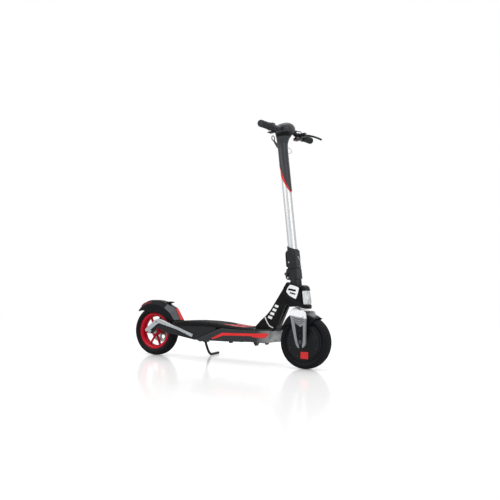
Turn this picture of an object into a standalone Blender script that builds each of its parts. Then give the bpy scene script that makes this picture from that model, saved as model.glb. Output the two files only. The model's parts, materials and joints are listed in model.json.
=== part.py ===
"""Electric kick scooter, parked on its kickstand.

Metres, +X forward, +Y to the rider's left, +Z up. Every piece is modelled on the upright scooter, with
x = 0 half way between the axles and z = 0 on the ground. All of them hang under the empty
parked_stance, which leans the scooter to its left until the kickstand takes the weight.
"""
import bpy
import bmesh
from math import atan2, cos, pi, radians, sin, tan
from mathutils import Matrix, Vector

# Driving dimensions
WHEEL_RADIUS = 0.127
TYRE_WIDTH = 0.064
CROWN_RADIUS = 0.045
WHEELBASE = 0.876
LEAN = radians(4.0)
RAKE = radians(8.5)
FORK_OFFSET = 0.021
DECK_WIDTH = 0.170
NECK_WIDTH = 0.052
HEAD_WIDTH = 0.068
STEM_RADIUS = 0.0215
BAR_HALF_WIDTH = 0.253
BAR_RADIUS = 0.011
GRIP_RADIUS = 0.017
SLEEVE_BORE = BAR_RADIUS + 0.0006
DISC_Y = 0.0323
GAP = 0.0003

# Turned pieces: steps round the axis
WHEEL_STEPS = 36
RIM_STEPS = 32
ROUND_STEPS = 24
SMALL_STEPS = 16

# Places worked out from the driving dimensions, on the upright scooter
AXLE_X = WHEELBASE / 2
# A leaning tyre touches the ground LEAN round from its crown line, on a flat facet of its turned surface
CONTACT_RADIUS = WHEEL_RADIUS - CROWN_RADIUS * (1 - cos(LEAN))
CONTACT_Z = WHEEL_RADIUS - CONTACT_RADIUS * cos(pi / WHEEL_STEPS)
STANCE_Z = CROWN_RADIUS * sin(LEAN) ** 2 - CONTACT_Z * cos(LEAN)
STEER_X = AXLE_X - FORK_OFFSET * cos(RAKE)
STEER_Z = WHEEL_RADIUS - FORK_OFFSET * sin(RAKE)

# In the steering frame f is forward of the steering axis and s is up along it
FOLD_F, FOLD_S = -0.027, 0.3085
SEAM_S = 0.3476
BAR_F, BAR_S = 0.030, 1.0085
BAR_CENTRE_S = 1.0215
BAR_Z = STEER_Z + BAR_F * sin(RAKE) + BAR_S * cos(RAKE)

# The rear arms lie along the scooter's sides and spread towards the deck
ARM_Y = 0.0535
ARM_THICK = 0.012
ARM_TOE = radians(3.5)

# Kickstand pivot, and the rod that stands on the ground
STAND_PIVOT = Vector((-0.1735, 0.0696, 0.0905))
STAND_FOOT_X = -0.181
STAND_HEEL_Y = 0.1330
STAND_TOE_Y = 0.2020
STAND_RADIUS = 0.0065

# Plain helpers


def collection(name):
    made = bpy.data.collections.new(name)
    bpy.context.scene.collection.children.link(made)
    return made


def material(name, colour, roughness, metallic=0.0):
    made = bpy.data.materials.new(name)
    made.use_nodes = True
    shader = made.node_tree.nodes["Principled BSDF"]
    shader.inputs["Base Color"].default_value = (*colour, 1.0)
    shader.inputs["Roughness"].default_value = roughness
    shader.inputs["Metallic"].default_value = metallic
    return made


def empty(name, parent=None, location=(0, 0, 0), rotation=(0, 0, 0)):
    made = bpy.data.objects.new(name, None)
    made.empty_display_size = 0.03
    made.parent = parent
    made.location = location
    made.rotation_euler = rotation
    SCOOTER.objects.link(made)
    return made


def piece(name, mesh, finish, parent, location=(0, 0, 0), rotation=(0, 0, 0)):
    made = bpy.data.objects.new(name, mesh)
    made.parent = parent
    made.location = location
    made.rotation_euler = rotation
    if finish is None:
        CUTTERS.objects.link(made)
        made.hide_render = True
        made.display_type = "WIRE"
    else:
        SCOOTER.objects.link(made)
        mesh.materials.append(finish)
    return made


def mesh_from(bm, name, smooth_angle=None):
    bmesh.ops.recalc_face_normals(bm, faces=bm.faces)
    mesh = bpy.data.meshes.new(name)
    bm.to_mesh(mesh)
    bm.free()
    if smooth_angle is not None:
        mesh.shade_smooth()
        mesh.set_sharp_from_angle(angle=smooth_angle)
    return mesh


def box(name, finish, parent, low, high, rounding=0.0, rotation=(0, 0, 0)):
    """A block between two corners, turned about its middle."""
    bm = bmesh.new()
    bmesh.ops.create_cube(bm, size=1.0)
    size = Vector(high) - Vector(low)
    bmesh.ops.scale(bm, vec=size, verts=bm.verts)
    middle = (Vector(high) + Vector(low)) / 2
    made = piece(name, mesh_from(bm, name), finish, parent, middle, rotation)
    if rounding:
        round_edges(made, rounding)
    return made


def rod(name, finish, parent, start, end, radius, end_radius=None, steps=SMALL_STEPS):
    """A round bar or cone from one point to another."""
    start, end = Vector(start), Vector(end)
    along = end - start
    bm = bmesh.new()
    bmesh.ops.create_cone(bm, cap_ends=True, segments=steps, radius1=radius,
                          radius2=radius if end_radius is None else end_radius, depth=along.length)
    turn = Vector((0, 0, 1)).rotation_difference(along).to_euler()
    mesh = mesh_from(bm, name, radians(40))
    return piece(name, mesh, finish, parent, (start + end) / 2, turn)


def turned(name, finish, parent, profile, location=(0, 0, 0), rotation=(0, 0, 0), steps=ROUND_STEPS,
           closed=False, half_step=False):
    """Turn a profile of (radius, height) points, listed from top to bottom, about its own Z axis."""
    bm = bmesh.new()
    turn = Matrix.Rotation(pi / steps if half_step else 0.0, 3, "Z")
    dots = [bm.verts.new(turn @ Vector((r, 0, h))) for r, h in profile]
    for first, second in zip(dots, dots[1:]):
        bm.edges.new((first, second))
    if closed:
        bm.edges.new((dots[-1], dots[0]))
    mesh = bpy.data.meshes.new(name)
    bm.to_mesh(mesh)
    bm.free()
    made = piece(name, mesh, finish, parent, location, rotation)
    screw = made.modifiers.new("turn", "SCREW")
    screw.steps = screw.render_steps = steps
    screw.use_merge_vertices = True
    screw.merge_threshold = 0.00001
    screw.use_smooth_shade = True
    return made


def to_mesh(curve_object):
    """Swap a curve object for a mesh object with its caps welded on."""
    bpy.context.view_layer.update()
    view = bpy.context.evaluated_depsgraph_get()
    mesh = bpy.data.meshes.new_from_object(curve_object.evaluated_get(view))
    bm = bmesh.new()
    bm.from_mesh(mesh)
    bmesh.ops.remove_doubles(bm, verts=bm.verts, dist=0.00001)
    bmesh.ops.recalc_face_normals(bm, faces=bm.faces)
    bm.to_mesh(mesh)
    bm.free()
    made = bpy.data.objects.new(curve_object.name + "_mesh", mesh)
    made.parent = curve_object.parent
    made.matrix_world = curve_object.matrix_world
    for owner in curve_object.users_collection:
        owner.objects.link(made)
    made.hide_render = curve_object.hide_render
    made.display_type = curve_object.display_type
    name = curve_object.name
    bpy.data.objects.remove(curve_object)
    made.name = name
    return made


def side_plate(name, finish, parent, points, thickness, middle_y=0.0, holes=(), rounding=0.0):
    """Extrude a side outline of (x, z) points along Y, to both sides of middle_y."""
    curve = bpy.data.curves.new(name, "CURVE")
    curve.dimensions = "2D"
    curve.fill_mode = "BOTH"
    curve.extrude = thickness / 2
    for outline in (points, *holes):
        spline = curve.splines.new("POLY")
        spline.points.add(len(outline) - 1)
        for dot, (x, z) in zip(spline.points, outline):
            dot.co = (x, z, 0, 1)
        spline.use_cyclic_u = True
    made = to_mesh(piece(name, curve, finish, parent, (0, middle_y, 0), (pi / 2, 0, 0)))
    if rounding:
        round_edges(made, rounding)
    return made


def tube(name, finish, parent, points, radius, sides=2, cyclic=False):
    """A wire along a smooth run of points."""
    curve = bpy.data.curves.new(name, "CURVE")
    curve.dimensions = "3D"
    curve.bevel_depth = radius
    curve.bevel_resolution = sides
    curve.use_fill_caps = not cyclic
    spline = curve.splines.new("POLY")
    spline.points.add(len(points) - 1)
    for dot, place in zip(spline.points, points):
        dot.co = (*place, 1)
    spline.use_cyclic_u = cyclic
    return to_mesh(piece(name, curve, finish, parent))


def smooth_run(points, per_span=4):
    """Catmull-Rom curve through the given points."""
    dots = [Vector(p) for p in points]
    dots = [2 * dots[0] - dots[1], *dots, 2 * dots[-1] - dots[-2]]
    run = []
    for a, b, c, d in zip(dots, dots[1:], dots[2:], dots[3:]):
        for k in range(per_span):
            t = k / per_span
            run.append(0.5 * (2 * b + (c - a) * t + (2 * a - 5 * b + 4 * c - d) * t * t
                              + (3 * b - a - 3 * c + d) * t ** 3))
    run.append(dots[-2])
    return run


def loft(name, finish, parent, sections, smooth_angle=None):
    """Skin a row of closed sections that have the same number of points, and cap both ends."""
    bm = bmesh.new()
    rings = [[bm.verts.new(p) for p in section] for section in sections]
    for first, second in zip(rings, rings[1:]):
        for k in range(len(first)):
            n = (k + 1) % len(first)
            bm.faces.new((first[k], first[n], second[n], second[k]))
    bm.faces.new(rings[0])
    bm.faces.new(rings[-1])
    return piece(name, mesh_from(bm, name, smooth_angle), finish, parent)


def round_edges(made, width, segments=2, angle=35):
    bevel = made.modifiers.new("rounding", "BEVEL")
    bevel.width = width
    bevel.segments = segments
    bevel.limit_method = "ANGLE"
    bevel.angle_limit = radians(angle)
    bevel.use_clamp_overlap = True


def combine(target, operation, *tools):
    for tool in tools:
        step = target.modifiers.new(operation.lower(), "BOOLEAN")
        step.operation = operation
        step.solver = "EXACT"
        step.object = tool


def cut(target, *tools):
    combine(target, "DIFFERENCE", *tools)


def join(target, *tools):
    combine(target, "UNION", *tools)


def between(rows, x):
    """Straight-line reading of a table of (x, value, ...) rows."""
    for low, high in zip(rows, rows[1:]):
        if x <= high[0]:
            break
    t = (x - low[0]) / (high[0] - low[0])
    return tuple(a + (b - a) * t for a, b in zip(low[1:], high[1:]))


# Scene, finishes and frames

for old in list(bpy.data.objects):
    bpy.data.objects.remove(old, do_unlink=True)

SCOOTER = collection("electric_scooter")
CUTTERS = collection("cutters")

RUBBER = material("tyre_rubber", (0.035, 0.036, 0.038), 0.75)
GRIP = material("grip_rubber", (0.05, 0.05, 0.055), 0.85)
BLACK = material("gloss_black_paint", (0.012, 0.012, 0.014), 0.25)
SATIN = material("satin_black_plastic", (0.035, 0.036, 0.04), 0.5)
GREY = material("dark_grey_plastic", (0.09, 0.09, 0.10), 0.55)
CRIMSON = material("crimson_paint", (0.62, 0.02, 0.05), 0.3)
RED = material("red_plastic", (0.70, 0.03, 0.03), 0.35)
SILVER = material("silver_paint", (0.62, 0.64, 0.66), 0.3, 0.6)
WHITE = material("white_paint", (0.80, 0.81, 0.82), 0.35)
ALUMINIUM = material("satin_aluminium", (0.75, 0.76, 0.77), 0.3, 1.0)
STEEL = material("steel", (0.45, 0.45, 0.46), 0.3, 1.0)
LENS = material("clear_lens", (0.85, 0.87, 0.88), 0.1)
CELLS = material("battery_wrap", (0.05, 0.15, 0.35), 0.5)

parked_stance = empty("parked_stance")
parked_stance.rotation_euler = (-LEAN, 0, 0)
# The handlebar's middle comes over the origin, and the lowest rubber comes to z = 0
parked_stance.location = (0, -BAR_Z * sin(LEAN), STANCE_Z)
rear_axis = empty("rear_axis", parked_stance, (-AXLE_X, 0, WHEEL_RADIUS))
steering_axis = empty("steering_axis", parked_stance, (STEER_X, 0, STEER_Z), (0, -RAKE, 0))
head = empty("head", parked_stance, (STEER_X, 0, STEER_Z), (0, -RAKE, 0))
fork_end = empty("fork_end", steering_axis, (FORK_OFFSET, 0, 0))
front_axis = empty("front_axis", fork_end, rotation=(0, RAKE, 0))
fold_axis = empty("fold_axis", steering_axis, (FOLD_F, 0, FOLD_S))
stem = empty("stem", fold_axis, (-FOLD_F, 0, -FOLD_S))

# Deck

# x, top of the deck plate, its underside, half of its width
DECK_STATIONS = (
    (-0.304, 0.183, 0.168, 0.058),
    (-0.296, 0.1845, 0.167, 0.063),
    (-0.262, 0.187, 0.168, 0.079),
    (-0.187, 0.192, 0.171, 0.0825),
    (-0.100, 0.193, 0.172, 0.0825),
    (-0.030, 0.190, 0.171, 0.0825),
    (0.030, 0.184, 0.1695, 0.0825),
    (0.080, 0.179, 0.1685, 0.0825),
    (0.170, 0.1755, 0.1685, 0.0825),
    (0.220, 0.176, 0.170, 0.0825),
    (0.275, 0.179, 0.172, 0.080),
    (0.291, 0.180, 0.173, 0.068),
)


def deck_plate_section(x):
    top, under, half = between(DECK_STATIONS, x)
    edge = 0.004
    return [(x, -half, under), (x, half, under), (x, half, top - edge), (x, half - edge, top),
            (x, -half + edge, top), (x, -half, top - edge)]


def make_deck_plate():
    stations = [deck_plate_section(row[0]) for row in DECK_STATIONS]
    loft("deck_plate", BLACK, parked_stance, stations)


def make_grip_mat():
    """Ribbed rubber mat that follows the top of the plate."""
    thick = 0.0027
    rear, front = -0.245, 0.172
    stations = [rear, *[row[0] for row in DECK_STATIONS if rear < row[0] < front], front]
    sections = []
    for x in stations:
        top = between(DECK_STATIONS, x)[0] + GAP
        half = 0.072 if x in (rear, front) else 0.076
        sections.append([(x, -half, top), (x, half, top), (x, half - 0.002, top + thick),
                         (x, -half + 0.002, top + thick)])
    loft("grip_mat", GRIP, parked_stance, sections)


# Side view of the battery tray under the deck, rear tip first, along the bottom to the nose
TRAY_BOTTOM = ((-0.136, 0.1060), (-0.110, 0.0950), (-0.046, 0.1040), (0.040, 0.1055), (0.182, 0.1125),
               (0.256, 0.1115), (0.281, 0.1270), (0.2895, 0.1500))
TRAY_TOP = ((0.2895, 0.1720), (0.220, 0.1694), (0.170, 0.1680), (0.080, 0.1680), (0.016, 0.1692),
            (-0.028, 0.1550), (-0.079, 0.1310))
TRAY_WALL = 0.004
# Place, lowest height and half widths (root and tip) of the bumps that take the scrape of a kerb
KERB_BUMPS = ((0.054, 0.0978, 0.013, 0.003), (0.199, 0.0948, 0.014, 0.003))
BUMP_Y, BUMP_WIDTH = 0.050, 0.022
# Under the nose, in front of each x: half width and height of the belly's edge, knee and middle
NOSE_BELLY = (
    (0.264, (0.090, 0.1130), (0.045, 0.1150), (0.0, 0.1270)),
    (0.290, (0.090, 0.1335), (0.045, 0.1450), (0.0, 0.1550)),
    (0.310, (0.090, 0.1493), (0.045, 0.1681), (0.0, 0.1765)),
)


def make_deck_tray():
    """Tray with two pairs of kerb bumps, a belly that rises to the nose, and the bay of the battery."""
    tray = side_plate("deck_tray", GREY, parked_stance, TRAY_BOTTOM + TRAY_TOP, DECK_WIDTH, rounding=0.005)
    for number, (x, low, foot, tip) in enumerate(KERB_BUMPS):
        bump = ((x - foot, 0.1145), (x - tip, low), (x + tip, low), (x + foot, 0.1155))
        for side in (-1, 1):
            join(tray, side_plate(f"kerb_bump_{number}_{side}", None, parked_stance, bump, BUMP_WIDTH,
                                  side * BUMP_Y))
    below = 0.080
    sections = []
    for x, edge, knee, middle in NOSE_BELLY:
        right = [(x, -y, z) for y, z in (edge, knee, middle)]
        left = [(x, y, z) for y, z in (knee, edge)]
        sections.append([(x, -edge[0], below), *right, *left, (x, edge[0], below)])
    cut(tray, loft("nose_belly", None, parked_stance, sections))
    hollow = ((-0.0400, 0.1085), (0.0400, 0.1100), (0.1820, 0.1170), (0.2460, 0.1165), (0.2550, 0.1230),
              (0.2560, 0.1500), (0.2560, 0.1800), (0.0200, 0.1800), (0.0120, 0.1630), (-0.0260, 0.1500))
    cut(tray, side_plate("tray_cavity", None, parked_stance, hollow, DECK_WIDTH - 2 * TRAY_WALL))


def make_battery_and_controller():
    box("battery_pack", CELLS, parked_stance, (0.010, -0.066, 0.1180), (0.180, 0.066, 0.1590), 0.003)
    box("controller_box", ALUMINIUM, parked_stance, (0.188, -0.055, 0.1190), (0.248, 0.055, 0.1540), 0.002)


# Rear arms, rear wheel and mudguard

# Side view of the load-bearing arm, from the axle boss forward along its lower edge
ARM_OUTLINE = ((-0.457, 0.1180), (-0.446, 0.1135), (-0.430, 0.1135), (-0.417, 0.1230), (-0.400, 0.1440),
               (-0.376, 0.1405), (-0.330, 0.1255), (-0.253, 0.1155), (-0.141, 0.1010), (-0.1375, 0.1070),
               (-0.0800, 0.1325), (-0.0300, 0.1560), (-0.0150, 0.1609), (-0.0150, 0.1697), (-0.0440, 0.1710),
               (-0.100, 0.1714), (-0.187, 0.1704), (-0.290, 0.1664), (-0.340, 0.1664), (-0.360, 0.1790),
               (-0.388, 0.1870), (-0.402, 0.1850), (-0.440, 0.1530), (-0.466, 0.1340))
# Side view of the silver cover on the arm
COVER_OUTLINE = ((-0.4680, 0.1340), (-0.4620, 0.1225), (-0.4460, 0.1240), (-0.3800, 0.1690),
                 (-0.3700, 0.1695), (-0.2570, 0.1460), (-0.1560, 0.1140), (-0.1500, 0.1285),
                 (-0.2580, 0.1612), (-0.2820, 0.1662), (-0.3560, 0.1900), (-0.3830, 0.1935),
                 (-0.4020, 0.1870))


def from_axle(outline):
    return [(x + AXLE_X, z - WHEEL_RADIUS) for x, z in outline]


def circle(x, z, radius, sides=SMALL_STEPS, start=0.0):
    return [(x + radius * cos(start + 2 * pi * k / sides), z + radius * sin(start + 2 * pi * k / sides))
            for k in range(sides)]


def make_rear_arms():
    cover_thick = 0.007
    for side, label in ((-1, "right"), (1, "left")):
        frame = empty(f"arm_frame_{label}", parked_stance, (-AXLE_X, side * ARM_Y, WHEEL_RADIUS),
                      (0, 0, side * ARM_TOE))
        side_plate(f"rear_arm_{label}", BLACK, frame, from_axle(ARM_OUTLINE), ARM_THICK,
                   holes=[circle(0, 0, 0.0065)])
        offset = side * (ARM_THICK / 2 + GAP + cover_thick / 2)
        side_plate(f"arm_cover_{label}", SILVER, frame, from_axle(COVER_OUTLINE), cover_thick, offset,
                   rounding=0.0025)


def make_rear_axle():
    half = ARM_Y + ARM_THICK / 2 - 0.001
    profile = [(0, half), (0.0057, half), (0.0057, -half), (0, -half)]
    turned("rear_axle", STEEL, rear_axis, profile, rotation=(pi / 2, 0, 0), steps=SMALL_STEPS)


def tyre_profile():
    """Closed section of a tyre, with its hollow open towards the rim."""
    bead, bead_half = 0.0945, 0.0210
    widest = TYRE_WIDTH / 2
    middle = WHEEL_RADIUS - CROWN_RADIUS
    side = [(bead, bead_half), (0.0985, widest - 0.0010), (0.1070, widest), (0.1170, widest - 0.0030)]
    tread = [(middle + CROWN_RADIUS * cos(a), CROWN_RADIUS * sin(a)) for a in (radians(24), LEAN)]
    hollow = [(0.1195, 0.0150), (0.1060, 0.0250), (bead, bead_half - 0.004)]
    half = side + tread
    return half + [(r, -y) for r, y in reversed(half)] + [(r, -y) for r, y in reversed(hollow)] + hollow


def make_tyre(name, parent):
    turned(name, RUBBER, parent, tyre_profile(), rotation=(pi / 2, 0, 0), steps=WHEEL_STEPS, closed=True,
           half_step=True)


RIM_OUTER = 0.0938
RIM_HALF = 0.0215
HUB_HALF = 0.020
BEARING_OUTER = 0.0140
BEARING_WIDTH = 0.008


def make_rear_rim():
    """Rim ring, hub and three pairs of thin spokes."""
    ring = [(RIM_OUTER, RIM_HALF), (RIM_OUTER, 0.014), (0.0885, 0.011), (0.0885, -0.011),
            (RIM_OUTER, -0.014), (RIM_OUTER, -RIM_HALF), (0.0795, -RIM_HALF), (0.0740, -0.012),
            (0.0740, 0.012), (0.0795, RIM_HALF)]
    rim = turned("rear_rim", CRIMSON, rear_axis, ring, rotation=(pi / 2, 0, 0), steps=RIM_STEPS, closed=True)
    seat = BEARING_OUTER + GAP
    seat_end = HUB_HALF - BEARING_WIDTH - GAP
    # The hub reaches further to the left, where the brake disc is bolted on; local +Z here is the right side
    disc_face = -0.0310
    hub = turned("rear_hub", None, rear_axis,
                 [(0.022, HUB_HALF), (0.022, -HUB_HALF), (0.019, disc_face), (seat, disc_face),
                  (seat, -seat_end), (0.009, -seat_end), (0.009, seat_end), (seat, seat_end),
                  (seat, HUB_HALF)],
                 rotation=(pi / 2, 0, 0), steps=ROUND_STEPS, closed=True)
    join(rim, hub)
    # Angles from straight down, clockwise as seen from the scooter's right
    for pair in range(3):
        middle = radians(5.5 + 120 * pair)
        for side in (-1, 1):
            inner, outer = middle + side * radians(9), middle + side * radians(23.5)
            start = Vector((-0.0195 * sin(inner), 0, -0.0195 * cos(inner)))
            end = Vector((-0.0795 * sin(outer), 0, -0.0795 * cos(outer)))
            join(rim, spoke(f"spoke_{pair}_{side}", start, end))


def spoke(name, start, end):
    """Bar between two points of the wheel's plane, 11 mm wide and 13 mm across the wheel."""
    along = end - start
    middle = (start + end) / 2
    half = Vector((0.0055, 0.0065, along.length / 2))
    angle = atan2(along.x, along.z)
    made = box(name, None, rear_axis, -half, half, rotation=(0, angle, 0))
    made.location = middle
    return made


def make_rear_wheel_parts():
    make_tyre("rear_tyre", rear_axis)
    make_rear_rim()
    for side, label in ((-1, "right"), (1, "left")):
        middle = side * (HUB_HALF - BEARING_WIDTH / 2)
        half = BEARING_WIDTH / 2
        turned(f"rear_bearing_{label}", STEEL, rear_axis,
               [(BEARING_OUTER, half), (BEARING_OUTER, -half), (0.0060, -half), (0.0060, half)],
               (0, middle, 0), (pi / 2, 0, 0), closed=True)
    disc = turned("brake_disc", STEEL, rear_axis,
                  [(0.060, 0.001), (0.060, -0.001), (0.0143, -0.001), (0.0143, 0.001)],
                  (0, DISC_Y, 0), (pi / 2, 0, 0), steps=RIM_STEPS, closed=True)
    windows, window_circle, window_radius = 6, 0.036, 0.0105
    for k in range(windows):
        turn = 2 * pi * k / windows
        x, z = window_circle * cos(turn), window_circle * sin(turn)
        cut(disc, rod(f"disc_window_{k}", None, rear_axis, (x, DISC_Y - 0.005, z), (x, DISC_Y + 0.005, z),
                      window_radius, steps=12))


# Mudguard: place on its crown line, then the lower edge of its side, in side view, then its half widths,
# and the share of the drop that its shoulder takes
REAR_GUARD = (
    ((-0.5500, 0.2285), (-0.5430, 0.2215), 0.0160, 0.0240, 0.36),
    ((-0.5350, 0.2450), (-0.5220, 0.2270), 0.0210, 0.0320, 0.36),
    ((-0.5070, 0.2690), (-0.4940, 0.2270), 0.0240, 0.0365, 0.36),
    ((-0.4680, 0.2850), (-0.4640, 0.2220), 0.0240, 0.0365, 0.32),
    ((-0.4180, 0.2862), (-0.4220, 0.2225), 0.0230, 0.0365, 0.32),
    ((-0.3820, 0.2780), (-0.3960, 0.2175), 0.0200, 0.0365, 0.32),
    ((-0.3520, 0.2640), (-0.3740, 0.2060), 0.0160, 0.0365, 0.36),
    ((-0.3320, 0.2560), (-0.3590, 0.1950), 0.0130, 0.0365, 0.40),
    ((-0.3150, 0.2470), (-0.3480, 0.1900), 0.0115, 0.0365, 0.45),
    ((-0.2955, 0.2185), (-0.3350, 0.1860), 0.0136, 0.0365, 0.50),
    ((-0.2773, 0.1880), (-0.3200, 0.1845), 0.0175, 0.0365, 0.50),
)
REAR_WALL = 0.0028


def channel(top, low, half_top, half_side, wall, shoulder):
    """Section of a mudguard: flat crown, sloping shoulders and straight sides, open below."""
    top, low = Vector((top[0], 0, top[1])), Vector((low[0], 0, low[1]))
    down = low - top
    inward = down.normalized() * wall
    elbow = top + down * shoulder
    # The wall is a little thinner at the elbow, so that the inside stays clear of the tyre
    elbow_wall = 0.6
    inner_elbow = elbow + inward * elbow_wall
    across = Vector((0, 1, 0))
    outer = [low + across * half_side, elbow + across * half_side, top + across * half_top,
             top - across * half_top, elbow - across * half_side, low - across * half_side]
    thin = half_side - wall
    inner = [low - across * thin, inner_elbow - across * thin, top + inward - across * half_top,
             top + inward + across * half_top, inner_elbow + across * thin, low + across * thin]
    return outer + inner


def make_rear_fender():
    sections = [channel(*row[:4], REAR_WALL, row[4]) for row in REAR_GUARD]
    loft("rear_fender", GREY, parked_stance, sections)


def make_fender_hook():
    """Hook that catches the loop of the folded stem; its tip points forward."""
    outline = ((-0.3800, 0.2775), (-0.3560, 0.2663), (-0.3530, 0.2715), (-0.3460, 0.2750), (-0.3350, 0.2765),
               (-0.3345, 0.2805), (-0.3480, 0.2825), (-0.3630, 0.2822), (-0.3730, 0.2805))
    side_plate("fender_hook", SATIN, parked_stance, outline, 0.010)


def make_tail_light():
    """Red lamp on the slope at the tail of the mudguard."""
    low, high = [Vector((x, 0, z)) for (x, z), *rest in REAR_GUARD[1:3]]
    slope = atan2(high.z - low.z, high.x - low.x)
    out = Vector((-sin(slope), 0, cos(slope)))
    half = Vector((0.013, 0.021, 0.0025))
    lamp = box("tail_light", RED, parked_stance, -half, half, 0.0015, (0, -slope, 0))
    lamp.location = (low + high) / 2 + out * (half.z + GAP)


# Rear brake

CALIPER_OUTLINE = ((-0.4520, 0.1640), (-0.4080, 0.1600), (-0.3930, 0.1480), (-0.3850, 0.1620),
                   (-0.3950, 0.1960), (-0.4080, 0.2010), (-0.4460, 0.1970))
CALIPER_Y, CALIPER_WIDTH = 0.0345, 0.0190
REAR_CABLE = ((-0.3943, 0.0455, 0.2000), (-0.3820, 0.0455, 0.2000), (-0.3580, 0.0450, 0.1930),
              (-0.3340, 0.0440, 0.1800), (-0.3160, 0.0430, 0.1755), (-0.3045, 0.0430, 0.1752))


def make_rear_brake():
    """Caliper round the top of the disc, its arm, and the cable that pulls the arm."""
    caliper = side_plate("brake_caliper", SATIN, parked_stance, CALIPER_OUTLINE, CALIPER_WIDTH, CALIPER_Y,
                         rounding=0.002)
    # The foot reaches out to the inner face of the left arm, and the horn holds the cable's end
    inside, outside = 0.0420, 0.0490
    join(caliper, box("caliper_foot", None, parked_stance, (-0.4010, inside, 0.1560),
                      (-0.3880, outside, 0.1750)))
    join(caliper, box("cable_horn", None, parked_stance, (-0.4040, inside, 0.1900),
                      (-0.3950, outside, 0.2040)))
    slot_half = 0.0022
    cut(caliper, box("disc_slot", None, parked_stance, (-0.4700, DISC_Y - slot_half, 0.1200),
                     (-0.3750, DISC_Y + slot_half, 0.1890)))
    pivot = empty("caliper_axis", parked_stance, (-0.4400, 0.0470, 0.1830))
    eye = circle(0, 0, 0.0065, 10, radians(100))[:6]
    blade = [(0.0035, -0.0060), (0.0045, 0.0195), (-0.0045, 0.0205)]
    side_plate("caliper_arm", STEEL, pivot, eye + blade, 0.0044)
    tube("brake_cable_rear", SATIN, parked_stance, smooth_run(REAR_CABLE, 3), 0.0022)


# Kickstand

def make_kickstand():
    """Clevis under the left arm, its pin, and the bent rod that stands on the ground."""
    px, py, pz = STAND_PIVOT
    slot_half = STAND_RADIUS + 0.0017
    cheek = 0.0048
    cheeks = ((px - 0.0150, 0.1067), (px + 0.0150, 0.1029), (px + 0.0105, pz - 0.0075), (px, pz - 0.0100),
              (px - 0.0105, pz - 0.0075))
    bracket = side_plate("kickstand_bracket", SATIN, parked_stance, cheeks, 2 * (slot_half + cheek), py)
    cut(bracket, box("stand_slot", None, parked_stance, (px - 0.030, py - slot_half, pz - 0.020),
                     (px + 0.030, py + slot_half, pz + 0.0100)))
    pin_radius = 0.0030
    pin_half = slot_half + cheek + 0.0005
    cut(bracket, rod("stand_bore", None, parked_stance, (px, py - 0.02, pz), (px, py + 0.02, pz),
                     pin_radius + GAP))
    rod("kickstand_pin", STEEL, parked_stance, (px, py - pin_half, pz), (px, py + pin_half, pz), pin_radius)
    pivot = empty("kickstand_axis", parked_stance, STAND_PIVOT)
    eye_half = slot_half - 0.0006
    eye = rod("kickstand_leg", SATIN, pivot, (0, -eye_half, 0), (0, eye_half, 0), 0.0085, steps=ROUND_STEPS)
    # The foot lies along the ground, which slopes up to the left of the leaning scooter
    slope = tan(LEAN)
    ground = -STANCE_Z / cos(LEAN)

    def foot(x, y):
        return Vector((x, y, ground + y * slope + 0.9 * STAND_RADIUS / cos(LEAN))) - STAND_PIVOT

    run = smooth_run([(0, 0, -0.0035), (0, 0, -0.0150), (-0.0030, 0.0185, -0.0400),
                      (-0.0068, 0.0420, -0.0630), foot(STAND_FOOT_X, STAND_HEEL_Y + 0.004),
                      foot(STAND_FOOT_X, STAND_TOE_Y)], 3)
    # Flat from the heel to the toe, so that it rests on its whole length
    lowest = foot(STAND_FOOT_X, STAND_HEEL_Y).z
    heel = STAND_HEEL_Y - STAND_PIVOT.y
    run = [p if p.y < heel else Vector((p.x, p.y, lowest + (p.y - heel) * slope)) for p in run]
    leg = tube("stand_rod", None, pivot, run, STAND_RADIUS, 3)
    join(eye, leg)
    cut(eye, rod("stand_eye_bore", None, pivot, (0, -0.02, 0), (0, 0.02, 0), pin_radius + 0.0004))
    # The ground itself gives the rod its flat sole
    cut(eye, box("stand_ground", None, None, (-0.300, -0.100, -0.050), (0.0, 0.280, 0.0)))


# Neck, head and headlight

NECK_OUTLINE = ((0.1745, 0.1761), (0.2200, 0.1765), (0.2750, 0.1795), (0.2900, 0.1804), (0.2960, 0.2000),
                (0.3300, 0.2820), (0.3560, 0.3300), (0.3560, 0.3950), (0.3400, 0.4040), (0.2560, 0.2690),
                (0.2340, 0.2430), (0.2040, 0.2170), (0.1745, 0.1860))
# Side view of the head in the steering frame (f, s); its top slopes down to the front
HEAD_OUTLINE = ((-0.0330, 0.2905), (-0.0570, 0.2620), (-0.0600, 0.1950), (-0.0360, 0.1705), (0.0280, 0.1705),
                (0.0362, 0.1800), (0.0362, 0.2600))
STEERER_RADIUS = 0.0150
COLLAR_RADIUS = 0.0272
COLLAR_LOW = 0.2490


def make_neck():
    """Neck and head of the frame, with the bores that the steerer turns in."""
    neck = side_plate("neck_frame", BLACK, parked_stance, NECK_OUTLINE, NECK_WIDTH, rounding=0.004)
    shell = side_plate("head_block", None, head, HEAD_OUTLINE, HEAD_WIDTH, rounding=0.007)
    join(neck, shell)
    # A round tube stiffens the front of the neck down to the deck
    join(neck, rod("front_strut", None, parked_stance, (0.2802, 0, 0.1945), (0.3370, 0, 0.3150), 0.0135))
    outer, inner = 0.0184, STEERER_RADIUS + GAP
    cut(neck, rod("steerer_bore", None, head, (0, 0, 0.120), (0, 0, 0.300), outer + GAP, steps=ROUND_STEPS))
    cut(neck, rod("collar_recess", None, head, (0, 0, COLLAR_LOW - 0.001), (0, 0, 0.350),
                  COLLAR_RADIUS + 0.0012, steps=ROUND_STEPS))
    for label, low in (("lower", 0.1730), ("upper", 0.2380)):
        high = low + 0.008
        turned(f"bearing_{label}", STEEL, head, [(outer, high), (outer, low), (inner, low), (inner, high)],
               closed=True)


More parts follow.
